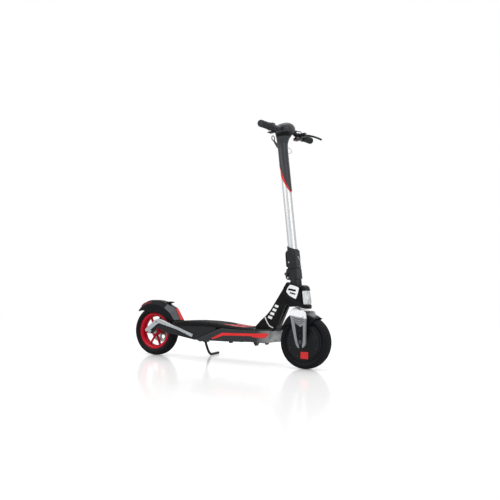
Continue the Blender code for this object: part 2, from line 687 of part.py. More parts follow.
def make_headlight():
    """Lamp on the front of the head: a cap over a tall clear lens that stands on the guard's lip."""
    face = 0.0366
    cap_under, plate_front = 0.2382, 0.0405
    housing = ((face, 0.1680), (face, 0.2630), (0.0440, 0.2660), (0.0550, 0.2560), (0.0590, cap_under),
               (plate_front, cap_under), (plate_front, 0.1680))
    side_plate("headlight_housing", SATIN, head, housing, 0.0540, rounding=0.0016)
    back, top = plate_front + 0.0004, cap_under - 0.0005
    lens = ((back, 0.1680), (back, top), (0.0598, top), (0.0625, 0.2100), (0.0630, 0.1760), (0.0530, 0.1760),
            (0.0525, 0.1680))
    side_plate("headlight_lens", LENS, head, lens, 0.0500, rounding=0.0016)


def make_head_bumper():
    """Guard that runs round the head below the lamp and carries the lamp's lip."""
    half_path = ((0.3230, 0.0368, 0.3540), (0.3600, 0.0372, 0.3300), (0.3980, 0.0374, 0.3080),
                 (0.4280, 0.0366, 0.2965), (0.4440, 0.0300, 0.2935), (0.4510, 0.0185, 0.2925),
                 (0.4525, 0.0000, 0.2925))
    path = [Vector((x, -y, z)) for x, y, z in half_path]
    path += [Vector((p.x, -p.y, p.z)) for p in reversed(path[:-1])]
    sections = []
    for k, middle in enumerate(path):
        along = path[min(k + 1, len(path) - 1)] - path[max(k - 1, 0)]
        out = Vector((along.y, -along.x, 0)).normalized() * 0.0025
        up = Vector((0, 0, 0.0085 if k in (0, len(path) - 1) else 0.0105))
        inner, outer, outer_up = middle - out, middle + out, 0.7 * up
        sections.append([inner - up, outer - outer_up, outer + outer_up, inner + up])
    loft("head_bumper", GREY, parked_stance, sections)


# Fork, steerer and front wheel

# Side view of a leg, forked round the axle: outer edge down the back, the opening, outer edge up the front
FORK_WINDOW = ((0.0135, -0.0150), (0.0082, -0.0020), (0.0050, 0.0300), (0.0030, 0.0760), (0.0022, 0.0940),
               (0.0310, 0.0715), (0.0445, 0.0790), (0.0400, 0.0320), (0.0345, -0.0020), (0.0285, -0.0150))
FORK_LEG = ((-0.0160, 0.1600), (-0.0180, 0.1340), (-0.0115, 0.0610), (-0.0070, 0.0200), (-0.0018, -0.0080),
            (0.0045, -0.0205), (0.0125, -0.0255), *FORK_WINDOW, (0.0295, -0.0255), (0.0372, -0.0225),
            (0.0470, -0.0100), (0.0530, 0.0320), (0.0620, 0.1010), (0.0620, 0.1280), (0.0580, 0.1390),
            (0.0470, 0.1450), (0.0300, 0.1488), (-0.0020, 0.1650), (-0.0140, 0.1650))
FORK_CROWN = ((-0.0170, 0.1430), (0.0480, 0.1430), (0.0470, 0.1450), (0.0300, 0.1488), (-0.0020, 0.1650),
              (-0.0140, 0.1650))
# The insert that holds the axle fills the opening
FORK_INSERT = ((0.0142, -0.0235), (0.0142, -0.0147), (0.0090, -0.0016), (0.0057, 0.0300), (0.0037, 0.0760),
               (0.0030, 0.0924), (0.0310, 0.0706), (0.0437, 0.0777), (0.0393, 0.0320), (0.0338, -0.0016),
               (0.0278, -0.0147), (0.0278, -0.0235))
# The crown's shoulders slope down from near its middle, so that it turns under the headlight's guard
SHOULDER_Y, SHOULDER_S = 0.026, 0.1650
SHOULDER_SLOPE = radians(27)
LEG_Y = 0.0530
LEG_THICK = 0.0120


def make_fork():
    fork = side_plate("fork", WHITE, steering_axis, FORK_LEG, LEG_THICK, -LEG_Y)
    left = side_plate("fork_leg_left", None, steering_axis, FORK_LEG, LEG_THICK, LEG_Y)
    crown = side_plate("fork_crown", None, steering_axis, FORK_CROWN, 2 * LEG_Y)
    join(fork, crown)
    join(fork, left)
    for side in (-1, 1):
        half = Vector((0.10, 0.06, 0.03))
        slope = box(f"shoulder_{side}", None, steering_axis, -half, half,
                    rotation=(-side * SHOULDER_SLOPE, 0, 0))
        out = Vector((0, side * sin(SHOULDER_SLOPE), cos(SHOULDER_SLOPE)))
        slope.location = Vector((0, side * SHOULDER_Y, SHOULDER_S)) + out * half.z
        cut(fork, slope)
    for side, label in ((-1, "right"), (1, "left")):
        side_plate(f"dropout_{label}", SATIN, steering_axis, FORK_INSERT, 0.0070, side * LEG_Y,
                   holes=[circle(FORK_OFFSET, 0, 0.0063)])
    half = LEG_Y + 0.0095
    nut_half = LEG_Y + 0.0040
    turned("front_axle", STEEL, fork_end,
           [(0, half), (0.0080, half), (0.0080, nut_half), (0.0058, nut_half), (0.0058, -nut_half),
            (0.0080, -nut_half), (0.0080, -half), (0, -half)], rotation=(pi / 2, 0, 0), steps=SMALL_STEPS)
    rod("steerer", STEEL, steering_axis, (0, 0, 0.1653), (0, 0, COLLAR_LOW - GAP), STEERER_RADIUS,
        steps=ROUND_STEPS)


# Degrees forward of the top of the wheel, radius of the crown, radius of the side's lower edge, half widths
FRONT_GUARD = (
    (-58, 0.1362, 0.1300, 0.0240, 0.0365),
    (-51, 0.1366, 0.1250, 0.0240, 0.0365),
    (-44, 0.1376, 0.1190, 0.0240, 0.0365),
    (-37, 0.1406, 0.1110, 0.0240, 0.0365),
    (-30, 0.1436, 0.1010, 0.0240, 0.0365),
    (-22, 0.1448, 0.0860, 0.0240, 0.0365),
    (-8, 0.1425, 0.0740, 0.0235, 0.0365),
    (4, 0.1400, 0.0700, 0.0225, 0.0365),
    (14, 0.1370, 0.0690, 0.0190, 0.0365),
    (24, 0.1362, 0.0690, 0.0165, 0.0365),
    (31, 0.1362, 0.0890, 0.0145, 0.0363),
    (36, 0.1362, 0.1130, 0.0120, 0.0350),
    (39, 0.1362, 0.1290, 0.0095, 0.0300),
)


def make_front_fender():
    """Mudguard round the front wheel, with deep sides behind the fork legs and a pointed tip."""
    shoulder = 0.010
    sections = []
    for angle, crown, low, half_top, half_side in FRONT_GUARD:
        out = Vector((sin(radians(angle)), cos(radians(angle))))
        depth = min(shoulder / (crown - low), 0.5)
        sections.append(channel(out * crown, out * low, half_top, half_side, 0.0026, depth))
    loft("front_fender", SATIN, fork_end, sections)


def make_front_wheel():
    make_tyre("front_tyre", front_axis)
    bore = 0.0062
    # The covers of the hub motor are slightly domed and fill the wheel
    half = [(0.0940, 0.0205), (0.0850, 0.0230), (0.0820, 0.0270), (0.0480, 0.0300), (0.0300, 0.0345),
            (0.0180, 0.0400), (bore, 0.0400)]
    profile = [(r, -h) for r, h in half] + half[::-1]
    turned("hub_motor", SATIN, front_axis, profile, rotation=(pi / 2, 0, 0), steps=RIM_STEPS, closed=True)


# Folding block

BLOCK_WIDTH = 0.052
TONGUE_WIDTH = 0.0350
TONGUE_RADIUS = 0.0105
SAFETY_F, SAFETY_S = -0.0310, 0.3270
PIN_RADIUS = 0.0030


def make_lower_block():
    """Collar that turns in the head, with the clevis of the folding hinge above it."""
    block = turned("fold_block_lower", SATIN, steering_axis,
                   [(0, 0.3020), (0.0235, 0.3020), (COLLAR_RADIUS, 0.2960), (COLLAR_RADIUS, COLLAR_LOW),
                    (0, COLLAR_LOW)])
    body = ((-0.0160, 0.2985), (-0.0160, SEAM_S), (0.0225, SEAM_S), (0.0230, 0.3200), (0.0225, 0.2985))
    join(block, side_plate("lower_body", None, steering_axis, body, BLOCK_WIDTH))
    cheek = ((-0.0120, 0.2985), (-0.0310, 0.2985), (-0.0385, 0.3085), (-0.0385, 0.3180), (-0.0315, SEAM_S),
             (-0.0120, SEAM_S))
    thick = (BLOCK_WIDTH - TONGUE_WIDTH) / 2 - GAP
    for side in (-1, 1):
        middle = side * (BLOCK_WIDTH - thick) / 2
        join(block, side_plate(f"cheek_{side}", None, steering_axis, cheek, thick, middle))
    cut(block, rod("fold_bore", None, steering_axis, (FOLD_F, -0.04, FOLD_S), (FOLD_F, 0.04, FOLD_S), 0.0048))
    # Room for the round end of the tongue
    room = TONGUE_WIDTH / 2 + 2 * GAP
    cut(block, rod("tongue_room", None, steering_axis, (FOLD_F, -room, FOLD_S), (FOLD_F, room, FOLD_S),
                   TONGUE_RADIUS + 0.0006, steps=ROUND_STEPS))
    # Hole through the right cheek for the safety pin
    cut(block, rod("pin_hole", None, steering_axis, (SAFETY_F, -0.04, SAFETY_S), (SAFETY_F, -0.01, SAFETY_S),
                   PIN_RADIUS + GAP))
    rod("fold_pin", STEEL, steering_axis, (FOLD_F, -0.0275, FOLD_S), (FOLD_F, 0.0275, FOLD_S), 0.0045)


def make_safety_button():
    """Spring pin that is pulled sideways out of the tongue before the stem folds."""
    slide = empty("safety_axis", steering_axis, (SAFETY_F, -BLOCK_WIDTH / 2, SAFETY_S))
    knob = rod("safety_button", SATIN, slide, (0, -0.0110, 0), (0, -0.0010, 0), 0.0075, 0.0060)
    reach = (BLOCK_WIDTH - TONGUE_WIDTH) / 2 - 0.0006
    join(knob, rod("safety_pin", None, slide, (0, -0.0020, 0), (0, reach, 0), PIN_RADIUS))


LEVER_F, LEVER_S = -0.0290, 0.4260


def make_upper_block():
    """Block that clamps the foot of the stem, with the tongue of the folding hinge below it."""
    outline = ((-0.0240, SEAM_S + 0.0004), (0.0235, SEAM_S + 0.0004), (0.0235, 0.4340), (0.0200, 0.4390),
               (-0.0240, 0.4390))
    block = side_plate("fold_block_upper", SATIN, stem, outline, BLOCK_WIDTH, rounding=0.0045)
    collar = turned("stem_collar", None, stem, [(0, 0.4740), (0.0262, 0.4740), (0.0262, 0.4330), (0, 0.4330)])
    join(block, collar)
    tongue = [(FOLD_F + TONGUE_RADIUS * cos(a), FOLD_S + TONGUE_RADIUS * sin(a))
              for a in (radians(180 + 22.5 * k) for k in range(9))]
    tongue += [(FOLD_F + TONGUE_RADIUS, SEAM_S + 0.0080), (-0.0215, SEAM_S + 0.0120),
               (-0.0320, SEAM_S + 0.0040), (FOLD_F - TONGUE_RADIUS + 0.0020, SEAM_S - 0.0060)]
    join(block, side_plate("tongue", None, stem, tongue, TONGUE_WIDTH))
    cut(block, rod("tongue_bore", None, stem, (FOLD_F, -0.03, FOLD_S), (FOLD_F, 0.03, FOLD_S), 0.0048))
    cut(block, rod("stem_bore", None, stem, (0, 0, 0.3900), (0, 0, 0.5200), STEM_RADIUS + GAP, steps=32))
    # The collar's brim slopes down to the front
    slope = atan2(0.024, 0.053)
    cut(block, box("collar_brim", None, stem, (-0.060, -0.050, 0.4525), (0.060, 0.050, 0.5125),
                   rotation=(0, slope, 0)))
    for side in (-1, 1):
        ear = side_plate(f"lever_ear_{side}", None, stem,
                         ((-0.0200, 0.4180), (-0.0330, 0.4200), (-0.0330, 0.4320), (-0.0200, 0.4360)), 0.0040,
                         side * 0.0135)
        join(block, ear)
    cut(block, rod("lever_bore", None, stem, (LEVER_F, -0.03, LEVER_S), (LEVER_F, 0.03, LEVER_S), 0.0028))


def make_latch_lever():
    """Lever on the back of the block, hinged at its top on its own journals."""
    pivot = empty("latch_axis", stem, (LEVER_F, 0, LEVER_S))
    outline = ((0.0035, 0.0040), (0.0040, -0.0600), (-0.0030, -0.0660), (-0.0100, -0.0620),
               (-0.0085, -0.0020), (-0.0040, 0.0060))
    lever = side_plate("latch_lever", SATIN, pivot, outline, 0.0216, rounding=0.0012)
    join(lever, rod("latch_journal", None, pivot, (0, -0.0150, 0), (0, 0.0150, 0), 0.0024, steps=12))


# Stem

SHELL_RADIUS = 0.0242
# The shell's lower end is a long slant, highest at the back
SLANT_BACK, SLANT_FRONT = 0.854, 0.720


def oval(f, s, half_f, half_y, sides=24, squareness=0.0):
    """Level oval section of the stem; squareness pulls it out towards a rounded box."""
    ring = []
    for k in range(sides):
        turn = 2 * pi * (k + 0.5) / sides
        swell = 1 + squareness * sin(2 * turn) ** 2
        ring.append((f + half_f * swell * cos(turn), half_y * swell * sin(turn), s))
    return ring


def make_stem():
    tube_low, tube_high = 0.3960, 0.9900
    turned("stem_tube", ALUMINIUM, stem,
           [(STEM_RADIUS, tube_high), (STEM_RADIUS, tube_low), (STEM_RADIUS - 0.0025, tube_low),
            (STEM_RADIUS - 0.0025, tube_high)], steps=32, closed=True)
    sections = [oval(0, 0.6900, SHELL_RADIUS, SHELL_RADIUS), oval(0, 0.9300, SHELL_RADIUS, SHELL_RADIUS),
                oval(0.0010, 0.9550, 0.0255, 0.0265), oval(0.0050, 0.9780, 0.0295, 0.0320),
                oval(0.0120, 0.9950, 0.0350, 0.0390, squareness=0.05),
                oval(0.0170, 1.0045, 0.0400, 0.0440, squareness=0.08)]
    shell = loft("stem_shell", SATIN, stem, sections, radians(40))
    cut(shell, rod("shell_bore", None, stem, (0, 0, 0.6000), (0, 0, tube_high + 0.0010), STEM_RADIUS + GAP,
                   steps=32))
    slope = atan2(SLANT_BACK - SLANT_FRONT, 0.044)
    half = Vector((0.200, 0.050, 0.100))
    slant = box("shell_slant", None, stem, -half, half, rotation=(0, slope, 0))
    slant.location = Vector((-sin(slope) * half.z, 0, (SLANT_BACK + SLANT_FRONT) / 2 - cos(slope) * half.z))
    cut(shell, slant)


# Height, offset forward and half axes of the cockpit's rings
COCKPIT_ROWS = (
    (1.0052, 0.0180, 0.0415, 0.0455),
    (1.0120, 0.0205, 0.0445, 0.0505),
    (1.0220, 0.0215, 0.0450, 0.0535),
    (1.0340, 0.0225, 0.0425, 0.0525),
    (1.0440, 0.0260, 0.0340, 0.0430),
    (1.0500, 0.0290, 0.0230, 0.0280),
)
DISPLAY_TILT = radians(-14)
DISPLAY_FACE = Vector((0.0120, 0, 1.0468))


def make_cockpit():
    """Instrument housing clamped over the bar, with the display let into its rear slope."""
    sections = [oval(f, s, half_f, half_y, squareness=0.08) for s, f, half_f, half_y in COCKPIT_ROWS]
    cockpit = loft("cockpit", SATIN, stem, sections, radians(40))
    join(cockpit, rod("cable_gland", None, stem, (0.0470, 0.0370, 1.0176), (0.0540, 0.0570, 1.0180), 0.0048))
    cut(cockpit, rod("bar_bore", None, stem, (BAR_F, -0.080, BAR_CENTRE_S), (BAR_F, 0.080, BAR_CENTRE_S),
                     BAR_RADIUS + GAP, steps=20))
    out = Vector((sin(DISPLAY_TILT), 0, cos(DISPLAY_TILT)))
    half, depth = Vector((0.0130, 0.0215, 0.0012)), 0.0012
    room = Vector((half.x + 0.0005, half.y + 0.0005, 0.0208))
    recess = box("display_recess", None, stem, -room, room, rotation=(0, DISPLAY_TILT, 0))
    recess.location = DISPLAY_FACE + out * (room.z - depth - 0.00005)
    cut(cockpit, recess)
    pane = box("display", BLACK, stem, -half, half, 0.0006, (0, DISPLAY_TILT, 0))
    pane.location = DISPLAY_FACE + out * (half.z - depth + 0.0004 + GAP)


def make_power_button():
    """Round button on the right of the bar's switch block."""
    travel_axis = empty("power_axis", stem, (BAR_F, THROTTLE_Y, BAR_S + 0.0175))
    rod("power_button", RED, travel_axis, (0, 0, -0.0010), (0, 0, 0.0028), 0.0045)


# Handlebar and its controls

THROTTLE_Y = -0.1420
PERCH_Y = 0.1220


def make_handlebar():
    half = BAR_HALF_WIDTH - 0.003
    right = [(BAR_F, -half, BAR_S), (BAR_F, -0.200, BAR_S), (BAR_F, -0.1400, BAR_S), (BAR_F, -0.1180, BAR_S),
             (BAR_F, -0.1050, BAR_S + 0.0008), (BAR_F, -0.0850, BAR_S + 0.0055),
             (BAR_F, -0.0680, BAR_CENTRE_S - 0.0012), (BAR_F, -0.0580, BAR_CENTRE_S)]
    left = [(f, -y, s) for f, y, s in reversed(right)]
    tube("handlebar", SATIN, stem, right + left, BAR_RADIUS, 3)


def make_grips():
    inner, outer = 0.1620, BAR_HALF_WIDTH
    end = BAR_HALF_WIDTH - 0.0027
    for side, label in ((1, "right"), (-1, "left")):
        profile = [(0, outer), (0.0135, outer), (GRIP_RADIUS, outer - 0.004), (0.0165, 0.2070),
                   (GRIP_RADIUS, inner + 0.008), (0.0190, inner + 0.004), (0.0190, inner),
                   (SLEEVE_BORE, inner), (SLEEVE_BORE, end), (0, end)]
        turned(f"grip_{label}", GRIP, stem, profile, (BAR_F, 0, BAR_S), (side * pi / 2, 0, 0), steps=20)


def sleeve(radius, half):
    """Profile of a ring that slides over the bar."""
    return [(radius, half), (radius, -half), (SLEEVE_BORE, -half), (SLEEVE_BORE, half)]


def make_throttle():
    """Clamped switch block on the right, with the thumb paddle that turns round the bar beside it."""
    housing = turned("throttle_housing", SATIN, stem, sleeve(0.0172, 0.0150), (BAR_F, THROTTLE_Y, BAR_S),
                     (pi / 2, 0, 0), steps=20, closed=True)
    join(housing, box("switch_block", None, stem, (BAR_F - 0.011, THROTTLE_Y - 0.0120, BAR_S + 0.0125),
                      (BAR_F + 0.011, THROTTLE_Y + 0.0120, BAR_S + 0.0190)))
    cut(housing, rod("button_well", None, stem, (BAR_F, THROTTLE_Y, BAR_S + 0.0145),
                     (BAR_F, THROTTLE_Y, BAR_S + 0.0300), 0.0049))
    turn = empty("throttle_axis", stem, (BAR_F, THROTTLE_Y + 0.0190, BAR_S))
    paddle = turned("throttle_lever", SATIN, turn, sleeve(0.0165, 0.0035), rotation=(pi / 2, 0, 0), steps=20,
                    closed=True)
    arm = ((-0.0060, -0.0140), (0.0060, -0.0140), (0.0040, -0.0230), (-0.0230, -0.0230), (-0.0230, -0.0195),
           (-0.0080, -0.0188))
    join(paddle, side_plate("paddle_arm", None, turn, arm, 0.0070))
    tab = ((0.0040, -0.0230), (-0.0230, -0.0230), (-0.0230, -0.0195), (-0.0080, -0.0188), (0.0040, -0.0188))
    join(paddle, side_plate("paddle_tab", None, turn, tab, 0.0300, -0.0150))


# Forward, left and half height of the brake lever's blade, from its pivot outwards, and its width there
LEVER_BLADE = (
    (-0.0080, -0.0050, 0.0040, 0.0110),
    (-0.0030, 0.0075, 0.0044, 0.0120),
    (0.0100, 0.0250, 0.0044, 0.0115),
    (0.0250, 0.0520, 0.0042, 0.0105),
    (0.0340, 0.0820, 0.0042, 0.0100),
    (0.0380, 0.1050, 0.0044, 0.0110),
)


def blade_sections():
    """Eight-sided sections square to the blade's run; past its pivot the blade droops a little."""
    droop, droop_start, rounded = 0.16, 0.020, 0.6
    sections = []
    for k, (f, y, half_height, width) in enumerate(LEVER_BLADE):
        before, after = LEVER_BLADE[max(k - 1, 0)], LEVER_BLADE[min(k + 1, len(LEVER_BLADE) - 1)]
        along = Vector((after[0] - before[0], after[1] - before[1], 0)).normalized()
        across = Vector((along.y, -along.x, 0)) * width / 2
        up = Vector((0, 0, half_height))
        middle = Vector((f, y, -droop * max(y - droop_start, 0)))
        corners = ((-1, -rounded), (-0.5, -1), (0.5, -1), (1, -rounded), (1, rounded), (0.5, 1), (-0.5, 1),
                   (-1, rounded))
        sections.append([middle + across * a + up * b for a, b in corners])
    return sections


def make_brake_lever():
    """Clamp on the left of the bar, its lever, and the end of the cable that the lever pulls."""
    perch = turned("brake_perch", SATIN, stem, sleeve(0.0165, 0.0090), (BAR_F, PERCH_Y, BAR_S),
                   (pi / 2, 0, 0), steps=20, closed=True)
    join(perch, box("perch_body", None, stem, (BAR_F + 0.0130, PERCH_Y - 0.0150, BAR_S - 0.0090),
                    (BAR_F + 0.0420, PERCH_Y + 0.0080, BAR_S + 0.0090)))
    px, py = BAR_F + 0.0340, PERCH_Y - 0.0020
    cut(perch, box("lever_slot", None, stem, (BAR_F + 0.0190, PERCH_Y - 0.0125, BAR_S - 0.0048),
                   (BAR_F + 0.0600, PERCH_Y + 0.0200, BAR_S + 0.0048)))
    pivot = empty("brake_lever_axis", stem, (px, py, BAR_S))
    lever = loft("brake_lever", SATIN, pivot, blade_sections())
    cut(lever, rod("lever_eye", None, pivot, (0, 0, -0.02), (0, 0, 0.02), 0.0028, steps=12))
    # The pivot screw is part of the perch
    join(perch, rod("lever_screw", None, stem, (px, py, BAR_S - 0.0080), (px, py, BAR_S + 0.0100), 0.0024,
                    steps=12))
    cable = [(px - 0.0040, PERCH_Y - 0.0157, BAR_S + 0.0020), (px - 0.0040, PERCH_Y - 0.0260, BAR_S + 0.0024),
             (px + 0.0010, PERCH_Y - 0.0420, BAR_S + 0.0080), (0.0600, 0.0680, 1.0178),
             (0.0545, 0.0580, 1.0180)]
    tube("brake_cable_front", SATIN, stem, smooth_run(cable), 0.0024)


def make_bell():
    """Bell hung under the left of the bar, and the thumb striker that turns beside it."""
    f, y = BAR_F + 0.0040, 0.0920
    top = BAR_S - BAR_RADIUS + 0.0010
    dome = [(0, top), (0.0060, top), (0.0175, top - 0.0040), (0.0185, top - 0.0120), (0.0165, top - 0.0160),
            (0, top - 0.0160)]
    turned("bell", BLACK, stem, dome, (f, y, 0))
    turn = empty("striker_axis", stem, (f, y, top - 0.0160))
    hub = rod("bell_striker", STEEL, turn, (0, 0, -0.0040), (0, 0, -GAP), 0.0050)
    join(hub, box("striker_arm", None, turn, (0.0010, -0.0030, -0.0036), (0.0260, 0.0030, -0.0012)))


def make_loops():
    """Catch loop behind the top of the stem, and bag hook in front of it."""
    ring = [(-0.0470 + 0.0030 * cos(a), 0.0085 * cos(a), 0.9960 + 0.0120 * sin(a))
            for a in (2 * pi * k / 16 for k in range(16))]
    loop = tube("catch_loop", SATIN, stem, ring, 0.0022, 2, cyclic=True)
    bracket = ((-0.0246, 0.9440), (-0.0246, 0.9600), (-0.0330, 0.9700), (-0.0425, 0.9860), (-0.0490, 0.9860),
               (-0.0400, 0.9660), (-0.0300, 0.9440))
    join(loop, side_plate("loop_bracket", None, stem, bracket, 0.0090))
    hook = [(0.0247, 0, 0.9290), (0.0330, 0, 0.9295), (0.0410, 0, 0.9240), (0.0450, 0, 0.9150),
            (0.0420, 0, 0.9060), (0.0350, 0, 0.9030), (0.0300, 0, 0.9060)]
    tube("bag_hook", STEEL, stem, smooth_run(hook, 2), 0.0024)


# Assembly

make_deck_plate()
make_grip_mat()
make_deck_tray()
make_battery_and_controller()
make_rear_arms()
make_rear_axle()
make_rear_wheel_parts()
make_rear_fender()
make_fender_hook()
make_tail_light()
make_rear_brake()
make_kickstand()
make_neck()
make_headlight()
make_head_bumper()
make_fork()
make_front_fender()
make_front_wheel()
make_lower_block()
make_safety_button()
make_upper_block()
make_latch_lever()
make_stem()
make_cockpit()
make_power_button()
make_handlebar()
make_grips()
make_throttle()
make_brake_lever()
make_bell()
make_loops()
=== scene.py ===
# %% [markdown]
# # Dressing a parked electric scooter
#
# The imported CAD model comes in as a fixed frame: its nodes carry the joints and the real sizes. This
# lesson puts finished surfaces on it. A node whose shape is already right keeps its shape and gets
# rounded edges and a material. A node that is coarse, such as a tyre, is replaced by a surface that is
# worked out with numpy on a grid of two parameters.

# %% Load the frame
import json
import bmesh
import bpy
import numpy as np
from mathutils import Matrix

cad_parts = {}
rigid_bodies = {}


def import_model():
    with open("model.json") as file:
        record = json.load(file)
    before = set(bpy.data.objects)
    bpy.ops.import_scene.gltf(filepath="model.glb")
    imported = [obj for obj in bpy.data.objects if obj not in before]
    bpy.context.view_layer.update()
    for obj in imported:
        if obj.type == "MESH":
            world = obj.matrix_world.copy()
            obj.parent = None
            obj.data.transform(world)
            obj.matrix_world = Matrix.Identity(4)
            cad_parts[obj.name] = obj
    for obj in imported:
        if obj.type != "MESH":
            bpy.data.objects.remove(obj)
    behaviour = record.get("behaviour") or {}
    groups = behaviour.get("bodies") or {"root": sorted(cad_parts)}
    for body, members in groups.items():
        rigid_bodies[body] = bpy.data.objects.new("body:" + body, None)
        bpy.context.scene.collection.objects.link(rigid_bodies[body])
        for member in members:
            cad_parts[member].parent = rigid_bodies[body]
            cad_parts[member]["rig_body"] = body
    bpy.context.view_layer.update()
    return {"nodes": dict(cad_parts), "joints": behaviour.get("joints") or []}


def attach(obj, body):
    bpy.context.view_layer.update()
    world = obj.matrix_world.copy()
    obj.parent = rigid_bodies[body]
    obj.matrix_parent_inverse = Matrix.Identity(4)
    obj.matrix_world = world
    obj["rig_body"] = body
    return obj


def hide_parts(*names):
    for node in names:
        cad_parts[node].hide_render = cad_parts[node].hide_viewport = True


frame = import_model()
joints = {joint["name"]: joint for joint in frame["joints"]}

# %% [markdown]
# ## Two working frames
#
# The scooter leans 4 degrees on its kickstand, so it is easier to describe it standing upright. The
# packed joints say where it really is: the rear wheel turns about the scooter's own left-right axis, and
# the steering joint's axis is the raked line of the stem. Each frame is an origin and three directions.
# Upright places are (x forward, y left, z up) from the ground below the middle of the wheelbase. Stem
# places are (f forward of the steering axis, y left, s up along it).

# %% Frames from the joints
WHEEL_RADIUS = 0.127
AXLE_X = 0.438
FORK_OFFSET = 0.021
SIDES = (("right", -1), ("left", 1))

left = np.array(joints["rear_wheel_spin"]["axis"])
forward = np.array([1.0, 0.0, 0.0])
UPRIGHT = np.array([forward, left, np.cross(forward, left)])
GROUND = np.array(joints["rear_wheel_spin"]["pos_m"]) - np.array([-AXLE_X, 0.0, WHEEL_RADIUS]) @ UPRIGHT
rake = np.array(joints["steering"]["axis"])
STEM = np.array([np.cross(left, rake), left, rake])
FRONT_AXLE = np.array(joints["front_wheel_spin"]["pos_m"])
REAR_AXLE = np.array(joints["rear_wheel_spin"]["pos_m"])
STEERING = FRONT_AXLE - FORK_OFFSET * STEM[0]


def upright(points):
    """Upright places in the row frame: origin + x * forward + y * left + z * up."""
    return GROUND + np.asarray(points, float) @ UPRIGHT


def raked(points):
    """Stem places in the row frame: origin + f * forward of the axis + y * left + s * along the axis."""
    return STEERING + np.asarray(points, float) @ STEM


def about(centre):
    """Frame with its origin at a wheel's centre and the upright scooter's directions."""
    return lambda points: centre + np.asarray(points, float) @ UPRIGHT


rear_hub, front_hub = about(REAR_AXLE), about(FRONT_AXLE)
print("lean", round(float(np.degrees(np.arccos(UPRIGHT[2, 2]))), 2), "degrees")

# %% [markdown]
# ## Meshes from grids
#
# Almost every new piece is a grid of points, one row per step of the first parameter and one column per
# step of the second. The same index arithmetic turns any such grid into quads, whether or not it closes
# on itself in either direction, and open ends get a cap. After that bmesh turns the faces outwards.

# %% Grid to object
def grid_faces(rows, columns, wrap_rows, wrap_columns):
    """Quad (i, j), (i, j+1), (i+1, j+1), (i+1, j) for each cell; indices go round where the grid wraps."""
    i, j = np.meshgrid(np.arange(rows - (not wrap_rows)), np.arange(columns - (not wrap_columns)),
                       indexing="ij")
    nexti, nextj = (i + 1) % rows, (j + 1) % columns
    quads = np.stack([i * columns + j, i * columns + nextj, nexti * columns + nextj, nexti * columns + j], -1)
    return quads.reshape(-1, 4).tolist()


def make(name, points, faces, body, finish, slot, replaces=(), smooth=35.0, outward=True):
    """Puts points and faces in a mesh, turns the faces outwards and hands the piece to a body."""
    mesh = bpy.data.meshes.new(name)
    mesh.from_pydata(np.asarray(points).reshape(-1, 3).tolist(), [], faces)
    if outward:
        bm = bmesh.new()
        bm.from_mesh(mesh)
        bmesh.ops.remove_doubles(bm, verts=bm.verts, dist=1e-6)
        bmesh.ops.recalc_face_normals(bm, faces=bm.faces)
        bm.to_mesh(mesh)
        bm.free()
    if smooth:
        mesh.shade_smooth()
        mesh.set_sharp_from_angle(angle=np.radians(smooth))
    piece = bpy.data.objects.new(name, mesh)
    bpy.context.scene.collection.objects.link(piece)
    mesh.materials.append(finish)
    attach(piece, body)
    if replaces:
        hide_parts(*replaces)
    return piece


def skin(name, grid, body, finish, slot, wrap=(False, True), caps=True, **rest):
    """Piece from a grid of points (rows, columns, 3); caps close its first and last row with a face each."""
    rows, columns = grid.shape[:2]
    faces = grid_faces(rows, columns, *wrap)
    if caps:
        faces += [list(range(columns)), list(range((rows - 1) * columns, rows * columns))]
    return make(name, grid, faces, body, finish, slot, **rest)


def thicken(piece, wall, core):
    """Turns an open sheet's faces away from the core point, and Solidify adds the wall behind them."""
    faces = piece.data.polygons
    centres, normals = np.empty(3 * len(faces)), np.empty(3 * len(faces))
    faces.foreach_get("center", centres)
    faces.foreach_get("normal", normals)
    if np.sum((centres.reshape(-1, 3) - core) * normals.reshape(-1, 3)) < 0:
        piece.data.flip_normals()
    solid = piece.modifiers.new("wall", "SOLIDIFY")
    solid.thickness = wall
    solid.offset = -1.0
    solid.use_even_offset = True
    return piece


# %% [markdown]
# ## Shapes that come back often
#
# A lathe turns a profile about the left-right axis or about the stem. A pipe carries a circle along a
# path. A plate is an outline with a small chamfer, carried through its thickness. A smooth curve through
# a few points is a cubic spline in matrix form.

# %% Lathe, pipe, plate and spline
def lathe(place, profile, steps=128, axis="y", centre=(0, 0)):
    """(radius, height) dots turned about an axis: height along it, radius * cos and * sin round it."""
    radius, height = np.asarray(profile, float).T
    turn = np.linspace(0, 2 * np.pi, steps, endpoint=False)[None, :]
    a, b = radius[:, None] * np.cos(turn) + centre[0], radius[:, None] * np.sin(turn) + centre[1]
    level = np.broadcast_to(height[:, None], a.shape)
    return place(np.stack([a, level, b] if axis == "y" else [a, b, level], -1))


def curve(points, count):
    """Catmull-Rom curve through points, at count even values of its parameter, as one array product."""
    dots = np.asarray(points, float)
    dots = np.vstack([2 * dots[0] - dots[1], dots, 2 * dots[-1] - dots[-2]])
    u = np.linspace(0, len(dots) - 3, count)
    k = np.minimum(u.astype(int), len(dots) - 4)
    t = (u - k)[:, None]
    a, b, c, d = dots[k], dots[k + 1], dots[k + 2], dots[k + 3]
    square, cube = 2 * a - 5 * b + 4 * c - d, 3 * b - a - 3 * c + d
    return 0.5 * (2 * b + (c - a) * t + square * t ** 2 + cube * t ** 3)


